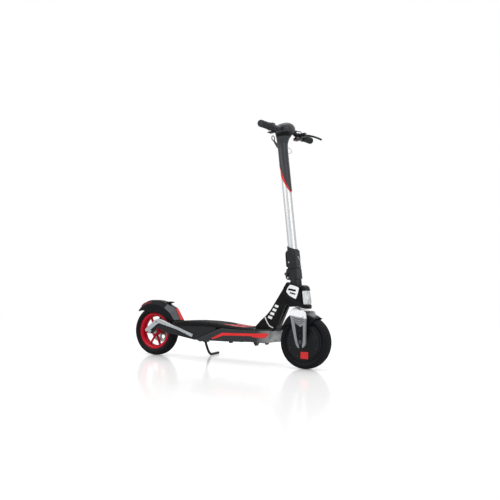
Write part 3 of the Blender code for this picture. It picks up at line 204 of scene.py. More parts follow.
def pipe(path, radius, sides=24, up=(0, 0, 1)):
    """Circle carried along a path: place + radius * (cos * side + sin * lift) at each step."""
    path = np.asarray(path, float)
    along = np.gradient(path, axis=0)
    along /= np.linalg.norm(along, axis=1, keepdims=True)
    side = np.cross(np.asarray(up, float), along)
    side /= np.linalg.norm(side, axis=1, keepdims=True)
    lift = np.cross(along, side)
    turn = np.linspace(0, 2 * np.pi, sides, endpoint=False)[None, :, None]
    radius = np.broadcast_to(np.asarray(radius, float), len(path))[:, None, None]
    return path[:, None] + radius * (np.cos(turn) * side[:, None] + np.sin(turn) * lift[:, None])


def inset(outline, depth):
    """Every corner of a counter-clockwise outline moved in by depth along its two edges' mean normal."""
    dots = np.asarray(outline, float)
    if np.sum(dots[:, 0] * np.roll(dots[:, 1], -1) - np.roll(dots[:, 0], -1) * dots[:, 1]) < 0:
        dots = dots[::-1]
    edge = np.roll(dots, -1, 0) - dots
    edge /= np.linalg.norm(edge, axis=1, keepdims=True)
    normal = np.stack([-edge[:, 1], edge[:, 0]], -1)
    mean = normal + np.roll(normal, 1, 0)
    mean /= np.maximum(np.sum(mean * normal, axis=1, keepdims=True), 0.35)
    return dots + depth * mean


def plate(outline, low, high, chamfer):
    """Outline rings at low, low, high and inset high: a plate whose outer edge is chamfered."""
    flat, small = inset(outline, 0.0), inset(outline, chamfer)
    step = chamfer * np.sign(high - low)
    rings = [np.c_[flat, np.full(len(flat), low)], np.c_[flat, np.full(len(flat), high - step)],
             np.c_[small, np.full(len(small), high)]]
    return np.stack(rings)[..., [0, 2, 1]]


def rounded(outline, radius, count=5):
    """Outline with each corner swapped for an arc: a quadratic curve between two points near the corner."""
    dots = np.asarray(outline, float)
    before, after = np.roll(dots, 1, 0) - dots, np.roll(dots, -1, 0) - dots
    cut = np.minimum(radius, 0.45 * np.minimum(np.linalg.norm(before, axis=1), np.linalg.norm(after, axis=1)))
    start = dots + before / np.linalg.norm(before, axis=1, keepdims=True) * cut[:, None]
    end = dots + after / np.linalg.norm(after, axis=1, keepdims=True) * cut[:, None]
    t = np.linspace(0, 1, count)[None, :, None]
    arc = (1 - t) ** 2 * start[:, None] + 2 * t * (1 - t) * dots[:, None] + t ** 2 * end[:, None]
    return arc.reshape(-1, 2)


# %% [markdown]
# ## Copies with rounded edges
#
# A CAD node is a set of loose triangles with knife-sharp edges, and real castings and mouldings have
# none. A copy of the node is merged, its flat areas are joined into single faces, and a Bevel modifier
# rounds what is left. The copy stands exactly where the node is, so nothing has to be placed.

# %% Softened copy of a node
def soften(node, width, finish, angle=30.0, segments=2):
    """Merged copy of a CAD node, flat areas dissolved, edges sharper than the angle bevelled."""
    source = frame["nodes"][node]
    mesh = source.data.copy()
    bm = bmesh.new()
    bm.from_mesh(mesh)
    bmesh.ops.remove_doubles(bm, verts=bm.verts, dist=2e-6)
    bmesh.ops.dissolve_limit(bm, angle_limit=np.radians(0.6), verts=bm.verts, edges=bm.edges)
    bmesh.ops.recalc_face_normals(bm, faces=bm.faces)
    bm.to_mesh(mesh)
    bm.free()
    mesh.materials.clear()
    mesh.materials.append(finish)
    mesh.shade_smooth()
    mesh.set_sharp_from_angle(angle=np.radians(angle))
    piece = bpy.data.objects.new(node + "_dressed", mesh)
    bpy.context.scene.collection.objects.link(piece)
    if width:
        bevel = piece.modifiers.new("edges", "BEVEL")
        bevel.width = width
        bevel.segments = segments
        bevel.limit_method = "ANGLE"
        bevel.angle_limit = np.radians(angle)
        bevel.use_clamp_overlap = True
        normals = piece.modifiers.new("normals", "WEIGHTED_NORMAL")
        normals.keep_sharp = False
    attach(piece, source["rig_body"])
    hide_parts(node)
    return piece


# %% [markdown]
# ## Finishes
#
# Each finish is a small node tree on Object coordinates, so a pattern has a real size in metres. A broad
# noise moves the base colour and the roughness a little between two close values, and a fine one gives the
# bump: orange peel on paint, a leathery grain on moulded plastic. What is the same all over is typed on
# the shader's own socket.

# %% Finish builder
def blank(name):
    """New material with only its shader and output; returns (material, nodes, links, shader)."""
    made = bpy.data.materials.new(name)
    made.use_nodes = True
    tree = made.node_tree
    return made, tree.nodes, tree.links, tree.nodes["Principled BSDF"]


def coordinates(nodes):
    """Object coordinates: metres in the row frame, as every new piece has its origin there."""
    return nodes.new("ShaderNodeTexCoord").outputs["Object"]


def distance(nodes, links, vector, centre):
    """Distance of each shaded place from a centre."""
    away = nodes.new("ShaderNodeVectorMath")
    away.operation = "DISTANCE"
    away.inputs[1].default_value = centre
    links.new(vector, away.inputs[0])
    return away.outputs["Value"]


def noise(nodes, links, vector, scale, detail=3.0, roughness=0.5):
    """Soft random pattern with that many swells per metre."""
    made = nodes.new("ShaderNodeTexNoise")
    made.inputs["Scale"].default_value = scale
    made.inputs["Detail"].default_value = detail
    made.inputs["Roughness"].default_value = roughness
    links.new(vector, made.inputs["Vector"])
    return made.outputs["Fac"]


def between(nodes, links, factor, low, high, near=0.35, far=0.65):
    """Map Range: a factor between near and far becomes a value between low and high."""
    made = nodes.new("ShaderNodeMapRange")
    for socket, value in zip(("From Min", "From Max", "To Min", "To Max"), (near, far, low, high)):
        made.inputs[socket].default_value = value
    links.new(factor, made.inputs["Value"])
    return made.outputs["Result"]


def tint(nodes, links, factor, dark, light):
    """Mix of two colours by a factor."""
    made = nodes.new("ShaderNodeMix")
    made.data_type = "RGBA"
    made.inputs["A"].default_value = (*dark, 1)
    made.inputs["B"].default_value = (*light, 1)
    links.new(factor, made.inputs["Factor"])
    return made.outputs["Result"]


def bump(nodes, links, shader, height, strength, depth):
    """A pattern's height becomes a small relief on the shaded surface."""
    made = nodes.new("ShaderNodeBump")
    made.inputs["Strength"].default_value = strength
    made.inputs["Distance"].default_value = depth
    links.new(height, made.inputs["Height"])
    links.new(made.outputs["Normal"], shader.inputs["Normal"])


def finish(name, colour, roughness, metallic=0.0, coat=0.0, spread=0.12, grain=900.0, depth=0.00005,
           strength=0.3, specular=0.5):
    """Plain finish: colour * (1 +- spread), roughness * (1 +- 0.15), and a grain that fine and that deep."""
    made, nodes, links, shader = blank(name)
    vector = coordinates(nodes)
    broad = noise(nodes, links, vector, 22.0, 4.0, 0.6)
    fine = noise(nodes, links, vector, grain, 2.0)
    dark = [c * (1 - spread) for c in colour]
    light = [min(c * (1 + spread) + spread * 0.01, 1.0) for c in colour]
    level = between(nodes, links, broad, 0.0, 1.0)
    links.new(tint(nodes, links, level, dark, light), shader.inputs["Base Color"])
    links.new(between(nodes, links, broad, roughness * 0.85, roughness * 1.15), shader.inputs["Roughness"])
    shader.inputs["Metallic"].default_value = metallic
    shader.inputs["Coat Weight"].default_value = coat
    shader.inputs["Coat Roughness"].default_value = 0.08
    shader.inputs["Specular IOR Level"].default_value = specular
    bump(nodes, links, shader, fine, strength, depth)
    return made


# %% [markdown]
# Most of the scooter wears plain finishes: gloss black paint on the castings, satin black on the folding
# block, the controls and the kickstand, moulded plastic on the guards, silver paint on the arm covers, and
# the crimson of the rear rim.

# %% Plain finishes
GLOSS_BLACK = finish("gloss_black_paint", (0.0030, 0.0030, 0.0035), 0.26, coat=0.03, grain=700, depth=0.00002,
                     specular=0.10)
SATIN_BLACK = finish("satin_black_anodise", (0.010, 0.011, 0.013), 0.38, grain=1400, depth=0.00002,
                     strength=0.4, specular=0.20)
MOULDED = finish("moulded_black_plastic", (0.005, 0.006, 0.007), 0.44, grain=1100, depth=0.00006,
                 strength=0.5, specular=0.09)
SHELL_BLACK = finish("shell_plastic", (0.030, 0.032, 0.036), 0.42, grain=1100, depth=0.00004,
                     strength=0.5, specular=0.30)
BELL_RED = finish("bell_paint", (0.030, 0.004, 0.008), 0.30, coat=0.2, grain=700, depth=0.00002)
DULL_RED = finish("dull_red_plastic", (0.10, 0.010, 0.010), 0.46, grain=900, depth=0.00003, specular=0.14)
# Light grey: the strips on the rear guard's shoulders, and a painted highlight on the front guard's crown
STRIP_AND_HIGHLIGHT_GREY = finish("guard_strip_and_highlight_plastic", (0.062, 0.068, 0.073), 0.42, grain=1000, depth=0.00005,
                    strength=0.4, specular=0.35)
SOFT_BLACK = finish("grip_rubber", (0.016, 0.017, 0.019), 0.66, grain=1600, depth=0.00006, strength=0.6,
                    specular=0.30)
MOTOR_BLACK = finish("motor_cover_paint", (0.006, 0.007, 0.008), 0.38, grain=800, depth=0.00004, strength=0.4,
                     specular=0.16)
CRIMSON = finish("crimson_rim_paint", (0.46, 0.002, 0.016), 0.32, coat=0.04, spread=0.06, grain=600,
                 depth=0.00002, specular=0.12)
SIGNAL_RED = finish("signal_red_plastic", (0.66, 0.026, 0.026), 0.38, coat=0.05, spread=0.05, grain=900,
                    depth=0.00003, specular=0.20)
SILVER = finish("silver_paint", (0.38, 0.41, 0.43), 0.36, metallic=0.55, coat=0.1, spread=0.05, grain=2600,
                depth=0.00001)
PALE = finish("pale_marking_paint", (0.80, 0.82, 0.83), 0.40, spread=0.04, grain=900, depth=0.00002)
STEEL = finish("zinc_plated_steel", (0.42, 0.42, 0.43), 0.30, metallic=1.0, spread=0.08, grain=1500,
               depth=0.00002)
DARK_STEEL = finish("black_oxide_steel", (0.05, 0.05, 0.055), 0.38, metallic=0.8, grain=1500, depth=0.00002)
WRAP = finish("battery_wrap", (0.03, 0.12, 0.32), 0.45, grain=500, depth=0.00002)
BRUSHED = finish("satin_tube_aluminium", (0.54, 0.55, 0.56), 0.44, metallic=0.85, spread=0.03, grain=900,
                 depth=0.000002, strength=0.1)
print("plain finishes", len(bpy.data.materials))

# %% [markdown]
# A few finishes need more. The fork is white at its crown and silver-grey down its legs, so its colour
# follows the height along the steering axis. Tyre rubber is dusty where it meets the road. The tray's nose
# carries a painted highlight: it pales towards its lowest point, where the light glances off it. The deck
# mat and the rear arms show a small raised texture. The lamp's lens is clear plastic, and the tail lamp is
# red and deep.

# %% Special finishes
PAINT_LINE, PAINT_LINE_SLOPE, PAINT_BLEND = 0.1254, 0.306, 0.006


def fork_paint():
    """White above a line that falls towards the front, silver below: s + slope * f against its height."""
    made, nodes, links, shader = blank("fork_two_tone_paint")
    vector = coordinates(nodes)
    away = nodes.new("ShaderNodeVectorMath")
    away.operation = "SUBTRACT"
    away.inputs[1].default_value = STEERING
    height = nodes.new("ShaderNodeVectorMath")
    height.operation = "DOT_PRODUCT"
    height.inputs[1].default_value = STEM[2] + PAINT_LINE_SLOPE * STEM[0]
    links.new(vector, away.inputs[0])
    links.new(away.outputs["Vector"], height.inputs[0])
    level = between(nodes, links, height.outputs["Value"], 0.0, 1.0, PAINT_LINE - PAINT_BLEND / 2,
                    PAINT_LINE + PAINT_BLEND / 2)
    links.new(tint(nodes, links, level, (0.22, 0.23, 0.245), (0.86, 0.87, 0.88)), shader.inputs["Base Color"])
    links.new(between(nodes, links, level, 0.35, 0.02, 0.0, 1.0), shader.inputs["Metallic"])
    broad = noise(nodes, links, vector, 30.0)
    links.new(between(nodes, links, broad, 0.26, 0.36), shader.inputs["Roughness"])
    shader.inputs["Coat Weight"].default_value = 0.5
    shader.inputs["Coat Roughness"].default_value = 0.08
    bump(nodes, links, shader, noise(nodes, links, vector, 900.0), 0.2, 0.00002)
    return made


def tyre_rubber(name, centre):
    """Charcoal rubber, greyer with distance from the axle, where the road dusts it."""
    made, nodes, links, shader = blank(name)
    vector = coordinates(nodes)
    worn = between(nodes, links, distance(nodes, links, vector, centre), 0.0, 1.0, near=0.119, far=0.1275)
    mottle = nodes.new("ShaderNodeMath")
    mottle.operation = "MULTIPLY"
    links.new(worn, mottle.inputs[0])
    links.new(noise(nodes, links, vector, 60.0, 6.0, 0.7), mottle.inputs[1])
    links.new(tint(nodes, links, mottle.outputs["Value"], (0.0050, 0.0055, 0.0070), (0.015, 0.015, 0.016)),
              shader.inputs["Base Color"])
    links.new(between(nodes, links, worn, 0.55, 0.78, 0.0, 1.0), shader.inputs["Roughness"])
    shader.inputs["Specular IOR Level"].default_value = 0.10
    bump(nodes, links, shader, noise(nodes, links, vector, 1300.0, 4.0), 0.5, 0.00008)
    return made


def glared(name, colour, pale, centre, near, far):
    """Moulded plastic with a painted highlight: its colour pales towards one point, where the studio light
    glances off its nose.
    """
    made, nodes, links, shader = blank(name)
    vector = coordinates(nodes)
    level = between(nodes, links, distance(nodes, links, vector, centre), 1.0, 0.0, near, far)
    links.new(tint(nodes, links, level, colour, pale), shader.inputs["Base Color"])
    broad = noise(nodes, links, vector, 40.0)
    links.new(between(nodes, links, broad, 0.42, 0.50), shader.inputs["Roughness"])
    shader.inputs["Specular IOR Level"].default_value = 0.22
    bump(nodes, links, shader, noise(nodes, links, vector, 1000.0), 0.5, 0.00006)
    return made


def studded(name, colour, roughness, scale, depth):
    """Raised dots on a grid: the distance to the nearest cell of an even Voronoi pattern makes the bump."""
    made, nodes, links, shader = blank(name)
    vector = coordinates(nodes)
    cells = nodes.new("ShaderNodeTexVoronoi")
    cells.inputs["Scale"].default_value = scale
    cells.inputs["Randomness"].default_value = 0.0
    links.new(vector, cells.inputs["Vector"])
    raised = between(nodes, links, cells.outputs["Distance"], 1.0, 0.0, 0.15, 0.45)
    broad = noise(nodes, links, vector, 25.0, 4.0, 0.6)
    dark = [0.75 * c for c in colour]
    light = [1.25 * c for c in colour]
    links.new(tint(nodes, links, broad, dark, light), shader.inputs["Base Color"])
    links.new(between(nodes, links, broad, roughness * 0.9, roughness * 1.1), shader.inputs["Roughness"])
    shader.inputs["Specular IOR Level"].default_value = 0.16
    bump(nodes, links, shader, raised, 0.8, depth)
    return made


def clear(name, colour, roughness, transmission):
    """Clear or tinted lamp plastic with faint moulding flow in its roughness."""
    made, nodes, links, shader = blank(name)
    vector = coordinates(nodes)
    broad = noise(nodes, links, vector, 90.0)
    links.new(tint(nodes, links, broad, [0.92 * c for c in colour], colour), shader.inputs["Base Color"])
    links.new(between(nodes, links, broad, roughness * 0.8, roughness * 1.2), shader.inputs["Roughness"])
    shader.inputs["Transmission Weight"].default_value = transmission
    shader.inputs["IOR"].default_value = 1.49
    bump(nodes, links, shader, noise(nodes, links, vector, 400.0), 0.1, 0.00002)
    return made


FORK_PAINT = fork_paint()
FRONT_RUBBER = tyre_rubber("front_tyre_rubber", FRONT_AXLE)
REAR_RUBBER = tyre_rubber("rear_tyre_rubber", REAR_AXLE)
# The tray's nose carries a painted highlight: its colour pales from dark grey to light grey towards this
# point
TRAY_NOSE = upright((0.300, 0.0, 0.130))
TRAY_GREY_AND_HIGHLIGHT = glared("moulded_grey_plastic_painted_highlight", (0.022, 0.024, 0.027), (0.620, 0.625, 0.630), TRAY_NOSE,
                   near=0.02, far=0.12)
MAT_RUBBER = studded("deck_mat_rubber", (0.010, 0.011, 0.013), 0.62, 260.0, 0.0004)
GUSSET_BLACK = studded("gusset_textured_plastic", (0.012, 0.013, 0.015), 0.50, 330.0, 0.0002)
LAMP_CLEAR = clear("lamp_lens_plastic", (0.92, 0.94, 0.95), 0.10, 0.55)
LAMP_RED = clear("tail_lens_plastic", (0.62, 0.02, 0.02), 0.15, 0.25)
SCREEN = finish("display_glass", (0.008, 0.009, 0.011), 0.08, coat=1.0, grain=200, depth=0.00001,
                strength=0.05)

# %% [markdown]
# ## Tyres
#
# The CAD tyre has 36 flat steps. The real one is a smooth ring with three grooves round its crown and
# slanted cuts towards its shoulders. Its section is a superellipse, squarer than a circle, and is taken
# at even steps of its arc. The tread is only a depth that is taken off along the section's normal: a
# smooth bump function for each groove, and a saw of slanted cuts that fades in from the crown and out on
# the sidewall.

# %% Tyres
SECTION_RADIUS, SECTION_HEIGHT, SECTION_HALF = 0.1060, 0.0201, 0.0316
SECTION_POWER = 2.8
BEAD = (0.0930, 0.0215)
SECTION_SPAN = 1.78


def tyre_section(v):
    """Radius = c + h cos(t)^(2/n), across = w sin(t)^(2/n), then straight to the bead, with its normals."""
    t = np.linspace(0, np.pi / 2, 600)
    line = np.stack([SECTION_RADIUS + SECTION_HEIGHT * np.cos(t) ** (2 / SECTION_POWER),
                     SECTION_HALF * np.sin(t) ** (2 / SECTION_POWER)], -1)
    line = np.concatenate([line, np.linspace(line[-1], BEAD, 40)[1:]])
    arc = np.concatenate([[0], np.cumsum(np.linalg.norm(np.diff(line, axis=0), axis=1))])
    at = np.abs(v) / SECTION_SPAN * arc[-1]
    radius, across = np.interp(at, arc, line[:, 0]), np.sign(v) * np.interp(at, arc, line[:, 1])
    slope = np.stack([np.gradient(radius), np.gradient(across)], -1)
    slope /= np.linalg.norm(slope, axis=1, keepdims=True)
    return radius, across, slope[:, 1], -slope[:, 0]


def tread_depth(turn, across):
    """Grooves round the crown at three widths, plus slanted sipes every 10 degrees on the shoulders."""
    rings = sum(np.exp(-((across - place) / 0.045) ** 2) for place in (-0.42, 0.0, 0.42))
    slant = np.cos(36 * (turn - 0.16 * np.abs(across)))
    sipes = np.clip((slant - 0.86) / 0.08, 0, 1) * np.clip((np.abs(across) - 0.50) / 0.06, 0, 1)
    sipes *= np.clip((1.25 - np.abs(across)) / 0.12, 0, 1)
    return 0.0015 * rings + 0.0013 * sipes


def tyre(name, place, body, finish, node):
    """Grid of turn u and arc v along the section: the section's point plus its normal times the relief."""
    u = np.linspace(0, 2 * np.pi, 432, endpoint=False)[:, None]
    v = np.linspace(-SECTION_SPAN, SECTION_SPAN, 89)[None, :]
    # Two lines run round each sidewall
    lines = sum(np.exp(-((np.abs(v) - place) / 0.02) ** 2) for place in (1.42, 1.58))
    relief = -tread_depth(u, v) - 0.0004 * lines
    radius, across, normal_out, normal_across = tyre_section(v[0])
    radius = radius + normal_out * relief
    across = across + normal_across * relief
    grid = place(np.stack([radius * np.sin(u), across + 0 * u, radius * np.cos(u)], -1))
    return skin(name, grid, body, finish, "tyre", wrap=(True, True), caps=False, replaces=(node,), smooth=40)


tyre("front_tyre_dressed", front_hub, "front_wheel", FRONT_RUBBER, "front_tyre")
tyre("rear_tyre_dressed", rear_hub, "rear_wheel", REAR_RUBBER, "rear_tyre")
print("tyre radius", SECTION_RADIUS + SECTION_HEIGHT, "width", 2 * SECTION_HALF)

# %% [markdown]
# ## Rear rim
#
# The rim is a cast ring with three pairs of thin spokes that run from its hub. The ring is one lathe
# profile. A spoke is a short loft: an oval section that is widest where it runs into the ring and the
# hub, so the joints look cast and not stuck on.

# %% Rear rim, hub and spokes
RING = [(0.0936, 0.0213), (0.0930, 0.0150), (0.0880, 0.0115), (0.0880, -0.0115), (0.0930, -0.0150),
        (0.0936, -0.0213), (0.0900, -0.0222), (0.0850, -0.0216), (0.0797, -0.0180), (0.0752, -0.0115),
        (0.0741, 0.0), (0.0752, 0.0115), (0.0797, 0.0180), (0.0850, 0.0216), (0.0900, 0.0222)]
HUB = [(0.0145, 0.0305), (0.0185, 0.0300), (0.0215, 0.0190), (0.0222, 0.0150), (0.0222, -0.0150),
       (0.0215, -0.0190), (0.0200, -0.0196), (0.0145, -0.0190)]
# Number of pairs, and the first one's turn from straight down in degrees
SPOKE_PAIRS, FIRST_PAIR = 3, 5.5


def spoke(angle, lean):
    """Oval sections from hub to ring, t = 0 to 1; half width = 4.6 mm + 1.8 mm * (2 |t - 0.5|)^4."""
    t = np.linspace(0, 1, 15)
    inner, outer = angle + lean * np.radians(9), angle + lean * np.radians(23.5)
    start = 0.0185 * np.array([-np.sin(inner), -np.cos(inner)])
    end = 0.0785 * np.array([-np.sin(outer), -np.cos(outer)])
    middle = start + t[:, None] * (end - start)
    along = (end - start) / np.linalg.norm(end - start)
    side = np.array([-along[1], along[0]])
    half = 0.0046 + 0.0018 * (2 * np.abs(t - 0.5)) ** 4
    turn = np.linspace(0, 2 * np.pi, 20, endpoint=False)
    wide = np.sign(np.cos(turn)) * np.abs(np.cos(turn)) ** 0.6
    deep = np.sign(np.sin(turn)) * np.abs(np.sin(turn)) ** 0.6 * 0.0070
    flat = middle[:, None] + half[:, None, None] * wide[None, :, None] * side
    return np.stack([flat[..., 0], np.broadcast_to(deep, flat.shape[:2]), flat[..., 1]], -1)


skin("rear_rim_dressed", lathe(rear_hub, RING, 160), "rear_wheel", CRIMSON, "crimson_aluminium",
     wrap=(True, True), caps=False, replaces=("rear_rim",), smooth=50)
skin("rear_hub_shell", lathe(rear_hub, HUB, 72), "rear_wheel", CRIMSON, "crimson_aluminium",
     wrap=(True, True), caps=False)
for pair in range(SPOKE_PAIRS):
    for lean, letter in ((-1, "a"), (1, "b")):
        blade = spoke(np.radians(FIRST_PAIR + 360 / SPOKE_PAIRS * pair), lean)
        skin(f"rear_spoke_{pair}_{letter}", rear_hub(blade), "rear_wheel", CRIMSON, "crimson_aluminium")
print("rim ring", len(RING), "profile points, spokes", 2 * SPOKE_PAIRS)

# %% [markdown]
# ## Hub motor
#
# The front wheel has no spokes: a motor drum fills it. Its cover steps down from a raised rim, dishes
# gently towards the axle and carries a ring of screws. One lathe profile describes both sides, because
# the second half is the first one mirrored.

# %% Motor drum and cover screws
HALF_DRUM = [(0.0938, 0.0195), (0.0905, 0.0222), (0.0868, 0.0226), (0.0848, 0.0232), (0.0838, 0.0262),
             (0.0800, 0.0272), (0.0650, 0.0284), (0.0640, 0.0276), (0.0620, 0.0276), (0.0610, 0.0287),
             (0.0470, 0.0297), (0.0330, 0.0336), (0.0300, 0.0345), (0.0205, 0.0375), (0.0180, 0.0398),
             (0.0062, 0.0398)]
drum = HALF_DRUM[::-1] + [(r, -h) for r, h in HALF_DRUM]
skin("hub_motor_dressed", lathe(front_hub, drum, 160), "front_wheel", MOTOR_BLACK, "satin_black_aluminium",
     wrap=(True, True), caps=False, replaces=("hub_motor",), smooth=32)


def screw(name, place, centre, out, radius, body, finish, up=(0, 0, 1)):
    """Button-head screw: a domed lathe profile with a round recess, its axis along out."""
    height = radius * 0.55
    profile = [(0.0, height * 0.45), (radius * 0.42, height * 0.45), (radius * 0.46, height),
               (radius * 0.80, height * 0.9), (radius * 0.98, height * 0.45), (radius, -0.0004),
               (0.0, -0.0004)]
    out = np.asarray(out, float) / np.linalg.norm(out)
    side = np.cross(np.asarray(up, float), out)
    side /= np.linalg.norm(side)
    basis = np.array([side, out, np.cross(side, out)])
    grid = lathe(lambda p: place(np.asarray(centre, float) + p @ basis), profile, 18)
    return skin(name, grid, body, finish, "steel", caps=False)


MOTOR_SCREWS, SCREW_CIRCLE, SCREW_OUT = 8, 0.0725, 0.0278
for k in range(MOTOR_SCREWS):
    turn = 2 * np.pi * (k + 0.5) / MOTOR_SCREWS
    for label, side in SIDES:
        centre = (SCREW_CIRCLE * np.sin(turn), side * SCREW_OUT, SCREW_CIRCLE * np.cos(turn))
        screw(f"motor_screw_{label}_{k}", front_hub, centre, (0, side, 0), 0.0030, "front_wheel", DARK_STEEL)
print("motor drum profile", len(drum), "points, screws", 2 * MOTOR_SCREWS)

# %% [markdown]
# A bare red reflector sits on the motor cover on each side: a plate with round corners.

# %% Red reflectors on the motor
def reflector(name, side, wide=0.0198, tall=0.0166):
    """Rectangle of half sizes wide and tall with round corners, laid on the cover."""
    outline = rounded([(-wide, -tall), (wide, -tall), (wide, tall), (-wide, tall)], 0.004)
    centre = np.array([0.0095, 0.0, -0.0604])
    grid = plate(outline, 0.0283 * side, 0.0303 * side, 0.0006)
    return skin(name, front_hub(grid + centre), "front_wheel", SIGNAL_RED, "red_plastic", smooth=30)


for label, side in SIDES:
    reflector(f"motor_reflector_{label}", side)
print("reflectors", 2)

# %% [markdown]
# ## Brake disc and axles
#
# The disc keeps its CAD windows, and its copy only gets the thin bevel of a stamped edge. A flanged nut
# finishes each end of both axles: a grid with six blunt corners and a wider foot.

# %% Disc, axles, bearings and nuts
def hex_nut(name, place, side, out, height, body, finish, flats=0.0150):
    """Six blunt corners at flats / 2 / cos 30, over a foot that is a quarter wider and a quarter as high."""
    turn = np.linspace(0, 2 * np.pi, 6, endpoint=False)
    turn = np.repeat(turn, 2) + np.tile([-0.10, 0.10], 6)
    corner = flats / 2 / np.cos(np.radians(30))
    rows = [(corner * 0.60, height), (corner * 0.90, height), (corner, height * 0.86),
            (corner, height * 0.34), (corner * 1.22, height * 0.26), (corner * 1.25, 0.0),
            (corner * 0.60, 0.0)]
    radius, level = np.asarray(rows).T[..., None]
    grid = np.stack([radius * np.cos(turn), side * (out + level) + 0 * turn, radius * np.sin(turn)], -1)
    return skin(name, place(grid), body, finish, "steel", smooth=30)


soften("brake_disc", 0.0002, STEEL, segments=1)
soften("rear_axle", 0.0004, STEEL)
soften("front_axle", 0.0006, DARK_STEEL)
for label in ("right", "left"):
    soften(f"rear_bearing_{label}", 0.0003, STEEL, segments=1)
for label, side in SIDES:
    hex_nut(f"rear_axle_nut_{label}", rear_hub, side, 0.0600, 0.0075, "chassis", STEEL)
for label, side in SIDES:
    hex_nut(f"front_axle_nut_{label}", front_hub, side, 0.0570, 0.0070, "steering", DARK_STEEL)
print("axle nuts", 4)

# %% [markdown]
# ## Mudguards
#
# Each mudguard is one thin sheet: a crown line and a lower edge, with a folded section between them, flat
# on top, slanted over its shoulder and straight down its side. Each table row is one station: where the
# crown runs, where the lower edge runs, the half widths of the flat top and of the sides, and on the rear
# guard the share of the drop that the shoulder takes. The front guard's stations are angles and radii
# about its wheel. Solidify gives the wall.

# %% Guards as curved sheets
CROWN_CORNER, SIDE_CORNER = 0.36, 0.56


def guard_section(top, low, half_top, half_side, shoulder, count=81):
    """Across the guard, v = -1 to 1: flat crown, slanted shoulder, straight side, averaged over 0.05 of v."""
    v = np.linspace(-1, 1, count)
    near = np.clip(v[:, None] + np.linspace(-0.025, 0.025, 7), -1, 1)
    way, sign = np.abs(near), np.sign(near)
    flat = np.minimum(way / CROWN_CORNER, 1)
    slanted = np.clip((way - CROWN_CORNER) / (SIDE_CORNER - CROWN_CORNER), 0, 1)
    down = np.clip((way - SIDE_CORNER) / (1 - SIDE_CORNER), 0, 1)
    y = half_top[:, None] * (sign * flat).mean(1) + (half_side - half_top)[:, None] * (sign * slanted).mean(1)
    drop = shoulder[:, None] * slanted.mean(1) + (1 - shoulder)[:, None] * down.mean(1)
    places = top[:, None, :] + drop[:, :, None] * (low - top)[:, None, :]
    return np.stack([places[..., 0], y, places[..., 1]], -1)


REAR_GUARD = [
    (-0.5500, 0.2285, -0.5430, 0.2215, 0.0160, 0.0240, 0.36),
    (-0.5350, 0.2450, -0.5220, 0.2270, 0.0210, 0.0320, 0.36),
    (-0.5070, 0.2690, -0.4940, 0.2270, 0.0240, 0.0363, 0.36),
    (-0.4680, 0.2848, -0.4640, 0.2220, 0.0240, 0.0363, 0.32),
    (-0.4180, 0.2860, -0.4220, 0.2225, 0.0230, 0.0363, 0.32),
    (-0.3820, 0.2780, -0.3960, 0.2175, 0.0200, 0.0363, 0.32),
    (-0.3520, 0.2640, -0.3740, 0.2060, 0.0160, 0.0363, 0.36),
    (-0.3320, 0.2560, -0.3590, 0.1950, 0.0130, 0.0363, 0.40),
    (-0.3150, 0.2470, -0.3480, 0.1900, 0.0115, 0.0363, 0.45),
    (-0.2955, 0.2185, -0.3350, 0.1860, 0.0136, 0.0363, 0.50),
    (-0.2775, 0.1882, -0.3200, 0.1847, 0.0175, 0.0363, 0.50)]
FRONT_GUARD = [
    (-58, 0.1360, 0.1300, 0.0240, 0.0363),
    (-51, 0.1364, 0.1250, 0.0240, 0.0363),
    (-44, 0.1374, 0.1190, 0.0240, 0.0363),
    (-37, 0.1404, 0.1110, 0.0240, 0.0363),
    (-30, 0.1434, 0.1010, 0.0240, 0.0363),
    (-22, 0.1446, 0.0860, 0.0240, 0.0363),
    (-8, 0.1423, 0.0740, 0.0235, 0.0363),
    (4, 0.1398, 0.0700, 0.0225, 0.0363),
    (14, 0.1368, 0.0690, 0.0190, 0.0363),
    (24, 0.1360, 0.0690, 0.0165, 0.0363),
    (31, 0.1360, 0.0890, 0.0145, 0.0361),
    (36, 0.1360, 0.1130, 0.0120, 0.0348),
    (39, 0.1360, 0.1290, 0.0095, 0.0298)]
STATIONS = np.linspace(0, len(REAR_GUARD) - 1, 101)
REAR_WALL, FRONT_WALL = 0.0026, 0.0024
TRIM_LIFT, TRIM_WALL = 0.0005, 0.0007


def rear_section(rows, count=81):
    """Section of the rear guard at interpolated table rows."""
    return guard_section(rows[:, 0:2], rows[:, 2:4], rows[:, 4], rows[:, 5], rows[:, 6], count)


def sheet(name, grid, wall, core, body, finish, slot, **rest):
    """Open sheet from a grid of points, with its wall on the side of the core point."""
    piece = skin(name, grid, body, finish, slot, wrap=(False, False), caps=False, outward=False, **rest)
    return thicken(piece, wall, core)


rear_rows = curve(REAR_GUARD, len(STATIONS))
sheet("rear_fender_dressed", upright(rear_section(rear_rows)), REAR_WALL, REAR_AXLE, "chassis", MOULDED,
      "dark_grey_plastic", replaces=("rear_fender",))

angle, crown, low, half_top, half_side = curve(FRONT_GUARD, 121).T
way = np.stack([np.sin(np.radians(angle)), np.cos(np.radians(angle))], -1)
fender = guard_section(way * crown[:, None], way * low[:, None], half_top, half_side,
                       np.minimum(0.010 / (crown - low), 0.5))


def fork_end(points):
    """Places round the front axle in the fork's own raked directions."""
    return FRONT_AXLE + np.asarray(points, float) @ STEM


